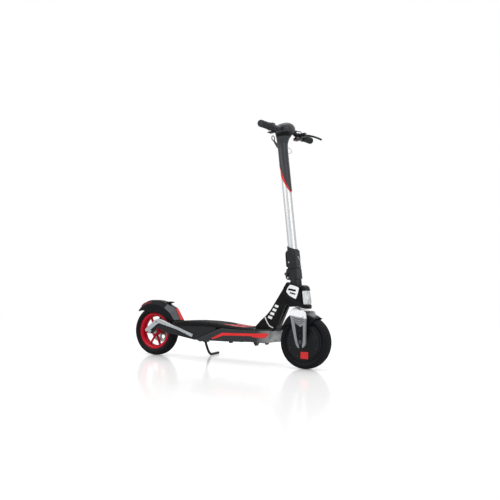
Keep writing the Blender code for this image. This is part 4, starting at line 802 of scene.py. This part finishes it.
# A light grey strip on the crown in front of the fork is a painted highlight where the guard's top is lit; it
# leaves a dark lip at the tip
HIGHLIGHT_ANGLES, HIGHLIGHT_REACH = (8, 34), 0.50
ahead = (angle >= HIGHLIGHT_ANGLES[0]) & (angle <= HIGHLIGHT_ANGLES[1])
broad = np.abs(np.linspace(-1, 1, fender.shape[1])) <= HIGHLIGHT_REACH
outwards = np.insert(way[ahead], 1, 0.0, axis=1)
painted_highlight = fender[ahead][:, broad] + TRIM_LIFT * outwards[:, None]
sheet("front_fender_dressed", fork_end(fender), FRONT_WALL, FRONT_AXLE, "steering", MOULDED,
      "satin_black_plastic", replaces=("front_fender",))
sheet("front_fender_painted_highlight", fork_end(painted_highlight), TRIM_WALL, FRONT_AXLE, "steering", STRIP_AND_HIGHLIGHT_GREY,
      "satin_black_plastic")
print("guards", len(rear_rows), "and", len(angle), "stations")

# %% [markdown]
# The rear guard carries a light grey strip on each shoulder of the slope that faces the rider, a red panel
# between them, a small red flash on each side of its tail, the catch hook for the folded stem and the tail
# light. Strips, panel and flashes are the guard's own surface again, cut to a smaller range of its two
# parameters and lifted by half a millimetre.

# %% Strip, panel, hook and tail light
def lifted(stations, across):
    """Part of the rear guard between two stations and two values of v, moved out along its own normal."""
    u, v = np.linspace(*stations, 41), np.linspace(-1, 1, 201)
    rows = np.stack([np.interp(u, STATIONS, line) for line in rear_rows.T], -1)
    part = rear_section(rows, len(v))[:, (v >= across[0]) & (v <= across[1])]
    normal = np.cross(np.gradient(part, axis=1), np.gradient(part, axis=0))
    normal /= np.linalg.norm(normal, axis=2, keepdims=True)
    centre = np.array([-AXLE_X, 0.0, WHEEL_RADIUS])
    facing = np.sign(np.sum(normal * (part - centre), axis=2, keepdims=True))
    return part + facing * normal * TRIM_LIFT


TRIMS = (("fender_strip_right", (5.6, 9.9), (-0.575, -0.365), STRIP_AND_HIGHLIGHT_GREY, "dark_grey_plastic"),
         ("fender_strip_left", (5.6, 9.9), (0.365, 0.575), STRIP_AND_HIGHLIGHT_GREY, "dark_grey_plastic"),
         ("fender_red_panel", (8.0, 9.9), (-0.345, 0.345), SIGNAL_RED, "red_plastic"),
         ("fender_red_flash", (2.0, 3.2), (-0.54, -0.42), DULL_RED, "red_plastic"),
         ("fender_red_flash_left", (2.0, 3.2), (0.42, 0.54), DULL_RED, "red_plastic"))
for name, stations, across, coat, slot in TRIMS:
    sheet(name, upright(lifted(stations, across)), TRIM_WALL, REAR_AXLE, "chassis", coat, slot, smooth=50)
soften("fender_hook", 0.0010, MOULDED)
soften("tail_light", 0.0006, LAMP_RED, segments=3)
print("rear guard trims", len(TRIMS))

# %% [markdown]
# ## Deck
#
# The deck plate and the battery tray keep their CAD shapes with moulded edges. The rubber mat is
# replaced by a height field: its ribs run along the deck, cross grooves break them into tiles, and it
# follows the same dip as the plate. The red bands near its front are plain inlays.

# %% Deck plate, tray, mat and bands
DECK_TOP = np.array([(-0.304, 0.183), (-0.296, 0.1845), (-0.262, 0.187), (-0.187, 0.192), (-0.100, 0.193),
                     (-0.030, 0.190), (0.030, 0.184), (0.080, 0.179), (0.170, 0.1755), (0.220, 0.176)])
MAT_BACK, MAT_FRONT, MAT_HALF = -0.2447, 0.1717, 0.0758
RIBS_BACK, RIBS_FRONT, RIBS_HALF = -0.239, 0.166, 0.070
MAT_THICK, BAND_PROUD = 0.0029, 0.0005


def deck_height(x):
    """Height of the deck plate along its length."""
    return np.interp(x, DECK_TOP[:, 0], DECK_TOP[:, 1])


def mat_top(x, y):
    """Plate + 2.9 mm, less 0.7 mm between ribs 7 mm apart and 0.6 mm in grooves 28 mm apart."""
    ribs = np.clip((np.cos(2 * np.pi * y / 0.007) - 0.2) / 0.3, -1, 1)
    groove = np.exp(-((np.mod(x + 0.014 + 0.12 * np.abs(y), 0.028) - 0.014) / 0.0011) ** 2)
    border = np.clip((RIBS_HALF - np.abs(y)) / 0.001, 0, 1) * np.clip((RIBS_FRONT - x) / 0.001, 0, 1)
    border *= np.clip((x - RIBS_BACK) / 0.001, 0, 1)
    return deck_height(x) + MAT_THICK - border * (0.00035 * (1 - ribs) + 0.0006 * groove)


x = np.linspace(MAT_BACK, MAT_FRONT, 340)[:, None]
y = np.linspace(-1, 1, 245)[None, :]
ends = np.clip(1 - (x - MAT_BACK) / 0.012, 0, 1) + np.clip(1 - (MAT_FRONT - x) / 0.012, 0, 1)
half = MAT_HALF - 0.0030 * ends
edge = np.clip((1 - np.abs(y)) / 0.012, 0, 1)
top = mat_top(x, y * half) - 0.0012 * (1 - edge)
under = deck_height(x) + 0.0003 + 0 * y
face, foot = (np.stack([x + 0 * y, y * half, level], -1) for level in (top, under))
grid = np.concatenate([face, foot[:, [-1, 0]]], axis=1)
skin("grip_mat_dressed", upright(grid), "chassis", MAT_RUBBER, "grip_rubber", replaces=("grip_mat",),
     smooth=30)
soften("deck_plate", 0.0020, GLOSS_BLACK, segments=3)
soften("deck_tray", 0.0006, TRAY_GREY_AND_HIGHLIGHT, angle=40)
soften("battery_pack", 0.0005, WRAP)
soften("controller_box", 0.0005, BRUSHED)


def band(name, y0, y1, x0, x1):
    """Thin inlay on the mat: its ends slant by 12 mm, and its top is 0.5 mm proud of the ribs."""
    u, v = np.linspace(0, 1, 60)[:, None], np.linspace(0, 1, 9)[None, :]
    px = x0 + (x1 - x0) * u + 0.012 * v
    py = y0 + (y1 - y0) * v + 0 * u
    top = deck_height(px) + MAT_THICK + BAND_PROUD
    under = top - 0.0008
    grid = np.concatenate([np.stack([px, py, top], -1), np.stack([px, py, under], -1)[:, ::-1]], axis=1)
    return skin(name, upright(grid), "chassis", SIGNAL_RED, "red_plastic", smooth=30)


for label, side in SIDES:
    band(f"mat_band_outer_{label}", side * 0.062, side * 0.050, 0.010, 0.135)
    band(f"mat_band_inner_{label}", side * 0.040, side * 0.020, 0.030, 0.125)
print("mat grid", grid.shape, "rib height 0.7 mm")

# %% [markdown]
# The red stripe on each side of the tray is a ribbon between two lines that are read off the side view:
# its upper edge rises to the front, and its lower edge steps down where the tray gets deeper.

# %% Side stripes
STRIPE_TOP = np.array([(-0.037, 0.1175), (0.023, 0.1470), (0.187, 0.1540), (0.2000, 0.1548), (0.262, 0.1588),
                       (0.2815, 0.1600)])
STRIPE_LOW = np.array([(-0.028, 0.1130), (0.030, 0.1345), (0.187, 0.1415), (0.2000, 0.1365), (0.263, 0.1370),
                       (0.2805, 0.1500)])
STRIPE_OUT, STRIPE_IN = 0.0861, 0.0846


def ribbon(top, low, outer, inner):
    """Rectangular section between matching dots of two lines: outer top, outer low, inner low, inner top."""
    corners = ((top, outer), (low, outer), (low, inner), (top, inner))
    return np.stack([np.c_[line[:, 0], np.full(len(line), y), line[:, 1]] for line, y in corners], axis=1)


for label, side in SIDES:
    grid = ribbon(STRIPE_TOP, STRIPE_LOW, side * STRIPE_OUT, side * STRIPE_IN)
    skin(f"tray_stripe_{label}", upright(grid), "chassis", SIGNAL_RED, "red_plastic", smooth=20)
print("stripe length", round(float(STRIPE_TOP[-1, 0] - STRIPE_TOP[0, 0]), 3))

# %% [markdown]
# ## Rear arms and kickstand
#
# Each arm is a black casting with a silver cover over it. The covers get rounded edges, which catch the
# light as the bright line in the photograph. Button-head screws hold them.

# %% Arms, covers, caliper, kickstand
ARM_TOE, COVER_OUT = np.radians(3.5), 0.0669
for label, side in SIDES:
    soften(f"rear_arm_{label}", 0.0016, GUSSET_BLACK, segments=3)
    soften(f"arm_cover_{label}", 0.0010, SILVER, angle=25)
    for k, (along, up) in enumerate(((0.0500, 0.0500), (0.1450, 0.0265), (0.2400, 0.0015))):
        lateral = COVER_OUT * np.cos(ARM_TOE) + along * np.sin(ARM_TOE)
        fore = along * np.cos(ARM_TOE) - COVER_OUT * np.sin(ARM_TOE)
        screw(f"cover_screw_{label}_{k}", rear_hub, (fore, side * lateral, up),
              (-np.sin(ARM_TOE), side * np.cos(ARM_TOE), 0), 0.0032, "chassis", DARK_STEEL)
soften("brake_caliper", 0.0010, SATIN_BLACK)
soften("caliper_arm", 0.0004, STEEL)
soften("brake_cable_rear", 0, SOFT_BLACK, angle=60)
soften("kickstand_bracket", 0.0008, SATIN_BLACK)
soften("kickstand_pin", 0.0004, STEEL)
soften("kickstand_leg", 0, SATIN_BLACK, angle=50)
print("cover screws", 6)

# %% [markdown]
# ## Neck, head and lamp
#
# The neck is a gloss black casting whose edges are broken by wide facets. It carries plain pale marks: a
# curved line at its foot, a row of slanted bars up its flank, and on the head one bare panel that two dark
# bars cross. Each is a thin plate, at most a millimetre proud of the side.

# %% Neck, bearings, bumper and plain marks
soften("neck_frame", 0.0022, GLOSS_BLACK, segments=3, angle=25)
soften("head_bumper", 0.0016, MOULDED, segments=3)
for node in ("bearing_lower", "bearing_upper", "steerer"):
    soften(node, 0.0003, STEEL, segments=1)


NECK_HALF, HEAD_HALF, MARK_PROUD = 0.0260, 0.0340, 0.0006


def marking(name, outline, half_width, side, finish=PALE, proud=MARK_PROUD, radius=0.0015, place=upright):
    """Plate on the neck's or head's side: outline in side view, its face just proud of the half width."""
    shape = rounded(outline, radius)
    grid = plate(shape, side * (half_width - MARK_PROUD), side * (half_width + proud), 0.0002)
    return skin(name, place(grid), "chassis", finish, "silver_plastic", smooth=30)


arc = curve([(0.2300, 0.2352), (0.2356, 0.2225), (0.2462, 0.2050), (0.2568, 0.1940), (0.2745, 0.1868)], 40)
arc_low = curve([(0.2252, 0.2322), (0.2312, 0.2195), (0.2424, 0.2015), (0.2545, 0.1895),
                 (0.2738, 0.1820)], 40)
# The head's panel in the stem frame, and the two dark bars that cross it
PANEL = [(-0.0395, 0.2440), (-0.0300, 0.2610), (-0.0150, 0.2745), (0.0010, 0.2690), (0.0180, 0.2615),
         (0.0310, 0.2540), (0.0235, 0.2320), (0.0080, 0.2035), (-0.0100, 0.2140), (-0.0260, 0.2250)]
PANEL_BARS = [[(-0.0290, 0.2500), (-0.0240, 0.2585), (0.0150, 0.2470), (0.0100, 0.2385)],
              [(-0.0215, 0.2345), (-0.0180, 0.2405), (0.0110, 0.2290), (0.0075, 0.2230)]]
for label, side in SIDES:
    grid = ribbon(arc, arc_low, side * (NECK_HALF + MARK_PROUD), side * (NECK_HALF - MARK_PROUD))
    skin(f"neck_line_{label}", upright(grid), "chassis", PALE, "silver_plastic", smooth=30)
    for k in range(4):
        fx, fz = 0.2530 + 0.0112 * k, 0.2330 + 0.0186 * k
        wide, tall = 0.0215 - 0.0010 * k, 0.0118 - 0.0004 * k
        back, front = fx - wide / 2, fx + wide / 2
        bar = [(back, fz - 0.0030), (front, fz - 0.0090), (front + 0.005, fz - 0.0090 + tall),
               (back + 0.005, fz - 0.0030 + tall)]
        marking(f"neck_bar_{label}_{k}", bar, NECK_HALF, side)
    marking(f"head_panel_{label}", PANEL, HEAD_HALF, side, radius=0.005, place=raked)
    for k, bar in enumerate(PANEL_BARS):
        marking(f"head_panel_bar_{label}_{k}", bar, HEAD_HALF, side, GLOSS_BLACK, 0.0010, 0.002, raked)
print("plain marks", 16)

# %% [markdown]
# The lamp is a tall clear block under a black cap. Its lens is a rounded box whose outer face carries
# shallow flutes, one cosine across its width and one up its height, and whose foot steps back behind the
# guard's lip.

# %% Headlight
LENS_HALF, FLUTE_WIDE, FLUTE_TALL = 0.0248, 0.0042, 0.0076


def lens_grid():
    """Front depth over (height, width), less a rounded side, plus flutes 0.4 mm deep both ways."""
    s = np.concatenate([np.linspace(0.1684, 0.1757, 8), np.linspace(0.1762, 0.2373, 90)])[:, None]
    y = np.linspace(-LENS_HALF, LENS_HALF, 121)[None, :]
    front = np.interp(s, [0.1684, 0.1757, 0.1762, 0.1785, 0.2100, 0.2340, 0.2373],
                      [0.0520, 0.0526, 0.0612, 0.0624, 0.0620, 0.0596, 0.0582])
    side = np.clip((LENS_HALF - np.abs(y)) / 0.0070, 0, 1)
    front = front - 0.0120 * (1 - np.sqrt(1 - (1 - side) ** 2)) + 0 * y
    inside = np.clip((0.0215 - np.abs(y)) / 0.002, 0, 1) * np.clip((s - 0.1800) / 0.002, 0, 1)
    flutes = 0.0004 * (np.cos(2 * np.pi * y / FLUTE_WIDE) + np.cos(2 * np.pi * s / FLUTE_TALL))
    face = np.stack([front + flutes * inside - 0.0008, y + 0 * s, s + 0 * y], -1)
    back = np.stack([np.full_like(front, 0.0411), y + 0 * s, s + 0 * y], -1)[:, ::-1]
    return np.concatenate([face, back], axis=1)


soften("headlight_housing", 0.0012, MOULDED, segments=3)
skin("headlight_lens_dressed", raked(lens_grid()), "chassis", LAMP_CLEAR, "clear_lens",
     replaces=("headlight_lens",), smooth=50)
print("lens flutes", int(0.043 / FLUTE_WIDE), "across and", int(0.0573 / FLUTE_TALL), "up")

# %% [markdown]
# ## Fork
#
# The fork's outline and its sloped shoulders come from the CAD node. Wide soft edges make it read as a
# casting. In its window sits a black insert with slanted ribs above two screws: each rib is a small ridge
# carried along a V.

# %% Fork, inserts and ribs
RIB_OUT, RIB_RADIUS, FORK_SCREW_OUT = 0.0594, 0.0011, 0.0565
soften("fork", 0.0022, FORK_PAINT, segments=3, angle=28)
for label, side in SIDES:
    soften(f"dropout_{label}", 0.0006, MOULDED)
    for k in range(3):
        base, out, spread = 0.0905 + 0.0105 * k, side * RIB_OUT, 0.0008 * k
        path = curve([(-0.0010 - spread, out, base + 0.0100), (0.0120, out, base + 0.0010),
                      (0.0250, out, base - 0.0050), (0.0380, out, base - 0.0010),
                      (0.0510 + spread, out, base + 0.0060)], 40)
        rib = pipe(path, RIB_RADIUS, 10, up=(0, 1, 0))
        skin(f"fork_rib_{label}_{k}", raked(rib), "steering", SATIN_BLACK, "satin_black_aluminium")
    for k, (f, s, r) in enumerate(((0.0235, 0.0300, 0.0034), (0.0220, 0.0560, 0.0028))):
        centre = (f, side * FORK_SCREW_OUT, s)
        screw(f"fork_screw_{label}_{k}", raked, centre, (0, side, 0), r, "steering", DARK_STEEL)
print("fork ribs", 6)

# %% [markdown]
# ## Folding block
#
# The hinge blocks are satin black castings. On them sit the clamp screws and the small wire loop at the
# front, which the photograph shows as a fine grey line.

# %% Blocks, latch, safety button and their screws
for node in ("fold_block_lower", "fold_block_upper"):
    soften(node, 0.0014, SATIN_BLACK, segments=3, angle=32)
soften("fold_pin", 0.0005, STEEL)
soften("latch_lever", 0.0010, MOULDED)
soften("safety_button", 0.0006, DARK_STEEL)
BLOCK_HALF = 0.0261
for k, (f, s, coat) in enumerate(((-0.0140, 0.3800, STEEL), (0.0120, 0.3800, DARK_STEEL),
                                  (0.0120, 0.4180, DARK_STEEL))):
    for label, side in SIDES:
        centre = (f, side * BLOCK_HALF, s)
        screw(f"block_screw_{label}_{k}", raked, centre, (0, side, 0), 0.0040, "stem", coat)
loop = curve([(0.0240, -0.012, 0.4050), (0.0330, -0.014, 0.3990), (0.0410, -0.014, 0.3800),
              (0.0385, -0.013, 0.3620), (0.0300, -0.010, 0.3540), (0.0236, -0.008, 0.3530)], 60)
skin("block_cable_loop", raked(pipe(loop, 0.0014, 12, up=(0, 1, 0))), "stem", STEEL, "steel")
print("block screws", 6)

# %% [markdown]
# ## Stem
#
# A plain aluminium tube rises from the clamp. Its upper half wears a dark shell that ends in a long
# slant with a red edge below it. The tube is a lathe about the steering axis, and the shell is a stack of
# ovals. The slant needs no cutting: the height at which each column of the grid ends is itself a function
# of the angle round the tube.

# %% Tube, shell and red flash
STEM_RADIUS, STEM_BORE, SHELL_RADIUS = 0.0215, 0.0190, 0.0242
TUBE_LOW, TUBE_TOP = 0.3962, 0.9900
SLANT_BACK, SLANT_FRONT, SHELL_TOP = 0.8540, 0.7200, 1.0045
AROUND = np.linspace(0, 2 * np.pi, 96, endpoint=False)[None, :]
tube = [(STEM_RADIUS, TUBE_LOW), (STEM_RADIUS, TUBE_TOP), (STEM_BORE, TUBE_TOP), (STEM_BORE, TUBE_LOW)]
skin("stem_tube_dressed", lathe(raked, tube, AROUND.size, axis="z"), "stem", BRUSHED, "satin_aluminium",
     wrap=(True, True), caps=False, replaces=("stem_tube",), smooth=30)


def slant(back, front):
    """Height of a plane that cuts the tube: (back + front) / 2 + (front - back) / 2 * cos turn."""
    return (back + front) / 2 + (front - back) / 2 * np.cos(AROUND)


def tube_wall(radius, s):
    """Round wall about the steering axis at a grid of heights s."""
    return np.stack([radius * np.cos(AROUND) + 0 * s, radius * np.sin(AROUND) + 0 * s, s], -1)


def sleeve(name, outside, inside, finish, slot, **rest):
    """Closed ring from an outer and an inner wall, joined at both ends."""
    grid = np.concatenate([outside, inside[::-1]], axis=0)
    return skin(name, raked(grid), "stem", finish, slot, wrap=(True, True), caps=False, **rest)


def red_sleeve(name, low_end, high_end, outer, inner):
    """Sleeve between two slanted ends; row heights run evenly from the lower plane to the upper one."""
    low, high = slant(*low_end), slant(*high_end)
    s = low + np.linspace(0, 1, 40)[:, None] * (high - low)
    return sleeve(name, tube_wall(outer, s), tube_wall(inner, s), SIGNAL_RED, "red_plastic")


# Height, offset forward, half axes and squareness
SHELL_ROWS = np.array([(0.7200, 0.0000, 0.0242, 0.0242, 0.00), (0.9300, 0.0000, 0.0242, 0.0242, 0.00),
                       (0.9550, 0.0010, 0.0255, 0.0265, 0.00), (0.9780, 0.0050, 0.0295, 0.0320, 0.02),
                       (0.9950, 0.0120, 0.0350, 0.0390, 0.05), (1.0045, 0.0170, 0.0400, 0.0440, 0.08)])


def shell_ring(s, proud=0.0):
    """Oval of the shell at height s: f + a cos turn and b sin turn, a and b squared off by their swell."""
    f, half_f, half_y, square = (np.interp(s, SHELL_ROWS[:, 0], SHELL_ROWS[:, k]) for k in range(1, 5))
    swell = 1 + square * np.sin(2 * AROUND) ** 2
    ahead, across = half_f * swell + proud, half_y * swell + proud
    return np.stack([f + ahead * np.cos(AROUND), across * np.sin(AROUND), s], -1)


# Oval rings run from the slant up to the bar clamp, and the shell's bore stops just above the tube
low = slant(SLANT_BACK, SLANT_FRONT)
s = low + np.linspace(0, 1, 90)[:, None] * (SHELL_TOP - low)
bore = tube_wall(STEM_RADIUS + 0.0003, np.minimum(s, TUBE_TOP + 0.0005))
sleeve("stem_shell_dressed", shell_ring(s), bore, SHELL_BLACK, "satin_black_plastic",
       replaces=("stem_shell",), smooth=40)
red_sleeve("stem_red_edge", (0.8120, 0.7150), (0.8538, 0.7198), STEM_RADIUS + 0.0011, STEM_RADIUS + 0.0001)
red_sleeve("stem_red_flash", (0.8542, 0.7202), (0.8660, 0.7222), SHELL_RADIUS + 0.0004, SHELL_RADIUS - 0.0004)
# A dark band is painted shade: it stands for the shadow in the gap between the shell and the cockpit
s = np.linspace(0.9880, 1.0035, 12)[:, None] + 0 * AROUND
sleeve("stem_painted_shadow_band", shell_ring(s, 0.0005), shell_ring(s, -0.0005), GLOSS_BLACK, "satin_black_plastic",
       smooth=40)
print("stem tube", AROUND.size, "steps, shell slant", round(SLANT_BACK - SLANT_FRONT, 3), "m")

# %% [markdown]
# ## Cockpit and handlebar
#
# The housing over the bar clamp keeps its CAD ovals with rounded edges, and a flat glass display is let
# into its rear slope. The bar is one bent tube. The grips are lathes with a collar at the inner end, fine
# ribs and a rounded outer end.

# %% Cockpit housing and display
soften("cockpit", 0.0012, SHELL_BLACK, angle=40)
soften("display", 0.0003, SCREEN, segments=2)

# %% Handlebar and grips
BAR_F, BAR_S, BAR_CENTRE_S, BAR_RADIUS = 0.030, 1.0085, 1.0215, 0.011
GRIP_START, GRIP_END, COLLAR_RADIUS = 0.1620, 0.2530, 0.0190
right_half = np.array([(-0.2500, BAR_S), (-0.2000, BAR_S), (-0.1400, BAR_S), (-0.1180, BAR_S),
                       (-0.1050, BAR_S + 0.0008), (-0.0850, BAR_S + 0.0055),
                       (-0.0680, BAR_CENTRE_S - 0.0012), (-0.0580, BAR_CENTRE_S)])
bar_line = np.vstack([right_half, right_half[::-1] * [-1, 1]])
bar_path = curve(np.c_[np.full(len(bar_line), BAR_F), bar_line], 180)
skin("handlebar_dressed", raked(pipe(bar_path, BAR_RADIUS, 40, up=(1, 0, 0))), "stem", SATIN_BLACK,
     "satin_black_aluminium", replaces=("handlebar",), smooth=40)


def grip_profile():
    """Radius along the grip: collar, then a barrel with 0.35 mm ribs 3 mm apart, then a quarter-round end."""
    h = np.linspace(GRIP_START, GRIP_END, 240)
    barrel = 0.0166 - 0.0005 * np.sin(np.pi * np.clip((h - 0.170) / 0.075, 0, 1))
    ribs = 0.00035 * np.clip(np.cos(2 * np.pi * h / 0.0030) * 1.6, -1, 1) * ((h > 0.1745) & (h < 0.2440))
    neck = COLLAR_RADIUS - (h - 0.1662) / 0.0038 * 0.0024
    end = 0.0128 + 0.0036 * np.sqrt(np.clip(1 - ((h - 0.2485) / 0.0045) ** 2, 0, 1))
    radius = np.select([h < 0.1662, h < 0.1700, h > 0.2485], [COLLAR_RADIUS, neck, end], barrel + ribs)
    return list(zip(radius, h))


for label, side in SIDES:
    profile = [(0.0116, 0.1622), (0.0186, GRIP_START), *grip_profile(), (0.0100, GRIP_END), (0.0, 0.2528)]
    grid = lathe(raked, [(r, side * h) for r, h in profile], 96, centre=(BAR_F, BAR_S))
    skin(f"grip_{label}_dressed", grid, "stem", SOFT_BLACK, "grip_rubber", replaces=(f"grip_{label}",),
         smooth=40)
print("bar width", 2 * GRIP_END, "m")

# %% [markdown]
# ## Controls
#
# Throttle on the right, brake lever and bell on the left. They sit close to the grips, small and dark,
# so their edges and their few bright parts matter most: the lever's screw and the red start button.

# %% Controls
soften("throttle_housing", 0.0010, SATIN_BLACK)
soften("throttle_lever", 0.0010, MOULDED)
soften("power_button", 0.0006, SIGNAL_RED, segments=3)
soften("brake_perch", 0.0010, SATIN_BLACK)
soften("brake_cable_front", 0, SOFT_BLACK, angle=60)
soften("bell_striker", 0.0004, STEEL)
soften("catch_loop", 0, SATIN_BLACK, angle=50)
soften("bag_hook", 0, STEEL, angle=60)
soften("brake_lever", 0.0008, SATIN_BLACK, segments=3)
BELL_TOP = BAR_S - BAR_RADIUS + 0.0010
bell = [(0.0, BELL_TOP), (0.0060, BELL_TOP), (0.0120, BELL_TOP - 0.0012), (0.0160, BELL_TOP - 0.0030),
        (0.0180, BELL_TOP - 0.0065), (0.0184, BELL_TOP - 0.0120), (0.0176, BELL_TOP - 0.0132),
        (0.0176, BELL_TOP - 0.0150), (0.0165, BELL_TOP - 0.0160), (0.0, BELL_TOP - 0.0160)]
skin("bell_dressed", lathe(raked, bell, 72, axis="z", centre=(BAR_F + 0.0040, 0.0920)), "stem", BELL_RED,
     "gloss_black_aluminium", replaces=("bell",))
for name, y in (("throttle", -0.1420), ("perch", 0.1220)):
    centre = (BAR_F - 0.0060, y, BAR_S - 0.0166)
    screw(f"{name}_clamp_screw", raked, centre, (-0.2, 0, -1), 0.0026, "stem", STEEL, up=(0, 1, 0))
centre = (BAR_F + 0.0340, 0.1200, BAR_S + 0.0091)
screw("lever_pivot_screw", raked, centre, (0, 0, 1), 0.0042, "stem", STEEL, up=(0, 1, 0))
print("control pieces", 13)

# %% [markdown]
# ## Studio
#
# The photograph was taken from the scooter's right and a little in front, with a long lens held low.
# A pale, slightly glossy floor catches a soft shadow and a faint reflection. Seen by the camera, in a
# reflection or through glass, the world is plain white. Three broad lamps light the object at a level
# where a colour renders about as it is written.

# %% Floor, world, lamps and camera
def floor_finish():
    """Pale, faintly glossy floor; the camera also sees some white of its own, and plain white far off."""
    made, nodes, links, shader = blank("studio_floor")
    shader.inputs["Base Color"].default_value = (0.76, 0.76, 0.76, 1)
    shader.inputs["Roughness"].default_value = 0.14
    shader.inputs["Specular IOR Level"].default_value = 0.50
    path, place = nodes.new("ShaderNodeLightPath"), nodes.new("ShaderNodeTexCoord")
    away = nodes.new("ShaderNodeVectorMath")
    away.operation = "LENGTH"
    links.new(place.outputs["Object"], away.inputs[0])
    far = between(nodes, links, away.outputs["Value"], 0.0, 1.0, near=1.0, far=2.6)
    glow, plain = nodes.new("ShaderNodeEmission"), nodes.new("ShaderNodeEmission")
    add, mix = nodes.new("ShaderNodeAddShader"), nodes.new("ShaderNodeMixShader")
    seen, blend = nodes.new("ShaderNodeMath"), nodes.new("ShaderNodeMath")
    seen.operation = blend.operation = "MULTIPLY"
    seen.inputs[1].default_value = 0.25
    links.new(path.outputs["Is Camera Ray"], seen.inputs[0])
    links.new(seen.outputs["Value"], glow.inputs["Strength"])
    links.new(shader.outputs["BSDF"], add.inputs[0])
    links.new(glow.outputs["Emission"], add.inputs[1])
    links.new(path.outputs["Is Camera Ray"], blend.inputs[0])
    links.new(far, blend.inputs[1])
    links.new(blend.outputs["Value"], mix.inputs["Fac"])
    links.new(add.outputs["Shader"], mix.inputs[1])
    links.new(plain.outputs["Emission"], mix.inputs[2])
    output = next(n for n in nodes if n.type == "OUTPUT_MATERIAL")
    links.new(mix.outputs["Shader"], output.inputs["Surface"])
    return made


HALF_FLOOR = 30.0
corners = [(HALF_FLOOR * x, HALF_FLOOR * y, 0) for x, y in ((-1, -1), (1, -1), (1, 1), (-1, 1))]
ground = bpy.data.meshes.new("studio_ground")
ground.from_pydata(corners, [], [(0, 1, 2, 3)])
ground.materials.append(floor_finish())
ground_piece = bpy.data.objects.new("studio_ground", ground)
bpy.context.scene.collection.objects.link(ground_piece)

world = bpy.data.worlds.new("studio_world")
bpy.context.scene.world = world
world.use_nodes = True
nodes, links = world.node_tree.nodes, world.node_tree.links
lit, path = nodes["Background"], nodes.new("ShaderNodeLightPath")
shown, mix = nodes.new("ShaderNodeBackground"), nodes.new("ShaderNodeMixShader")
lit.inputs["Color"].default_value = (1, 1, 1, 1)
lit.inputs["Strength"].default_value = 0.45
shown.inputs["Color"].default_value = (1, 1, 1, 1)
shown.inputs["Strength"].default_value = 1.0
seen = path.outputs["Is Camera Ray"]
for ray in ("Is Glossy Ray", "Is Transmission Ray"):
    either = nodes.new("ShaderNodeMath")
    either.operation = "MAXIMUM"
    links.new(seen, either.inputs[0])
    links.new(path.outputs[ray], either.inputs[1])
    seen = either.outputs["Value"]
links.new(seen, mix.inputs["Fac"])
links.new(lit.outputs["Background"], mix.inputs[1])
links.new(shown.outputs["Background"], mix.inputs[2])
links.new(mix.outputs["Shader"], nodes["World Output"].inputs["Surface"])


def lamp(name, place, aim, size, power):
    """Square area lamp at a place, turned so that its -Z looks at the aim."""
    light = bpy.data.lights.new(name, "AREA")
    light.size = size
    light.energy = power
    made = bpy.data.objects.new(name, light)
    bpy.context.scene.collection.objects.link(made)
    look = np.asarray(aim, float) - place
    look /= np.linalg.norm(look)
    made.location = place
    made.rotation_euler = (np.arccos(-look[2]), 0, np.arctan2(look[0], -look[1]) + np.pi)
    return made


lamp("key_softbox", (-1.6, -2.6, 2.6), (0, 0, 0.4), 2.2, 75)
lamp("fill_softbox", (3.2, -1.2, 1.6), (0, 0, 0.5), 1.8, 32)
lamp("top_softbox", (0.2, 0.6, 3.4), (0, 0, 0.3), 2.6, 70)

lens = bpy.data.cameras.new("photo_camera")
lens.lens, lens.sensor_width = 60.0, 36.0
camera = bpy.data.objects.new("photo_camera", lens)
camera.location = (2.237, -3.5405, 0.653)
camera.rotation_euler = (np.radians(90 - 1.387), np.radians(0.059), np.radians(31.236))
bpy.context.scene.collection.objects.link(camera)
bpy.context.scene.camera = camera
bpy.context.scene.view_settings.view_transform = "Standard"
print("lamps", 3, "camera lens", lens.lens)
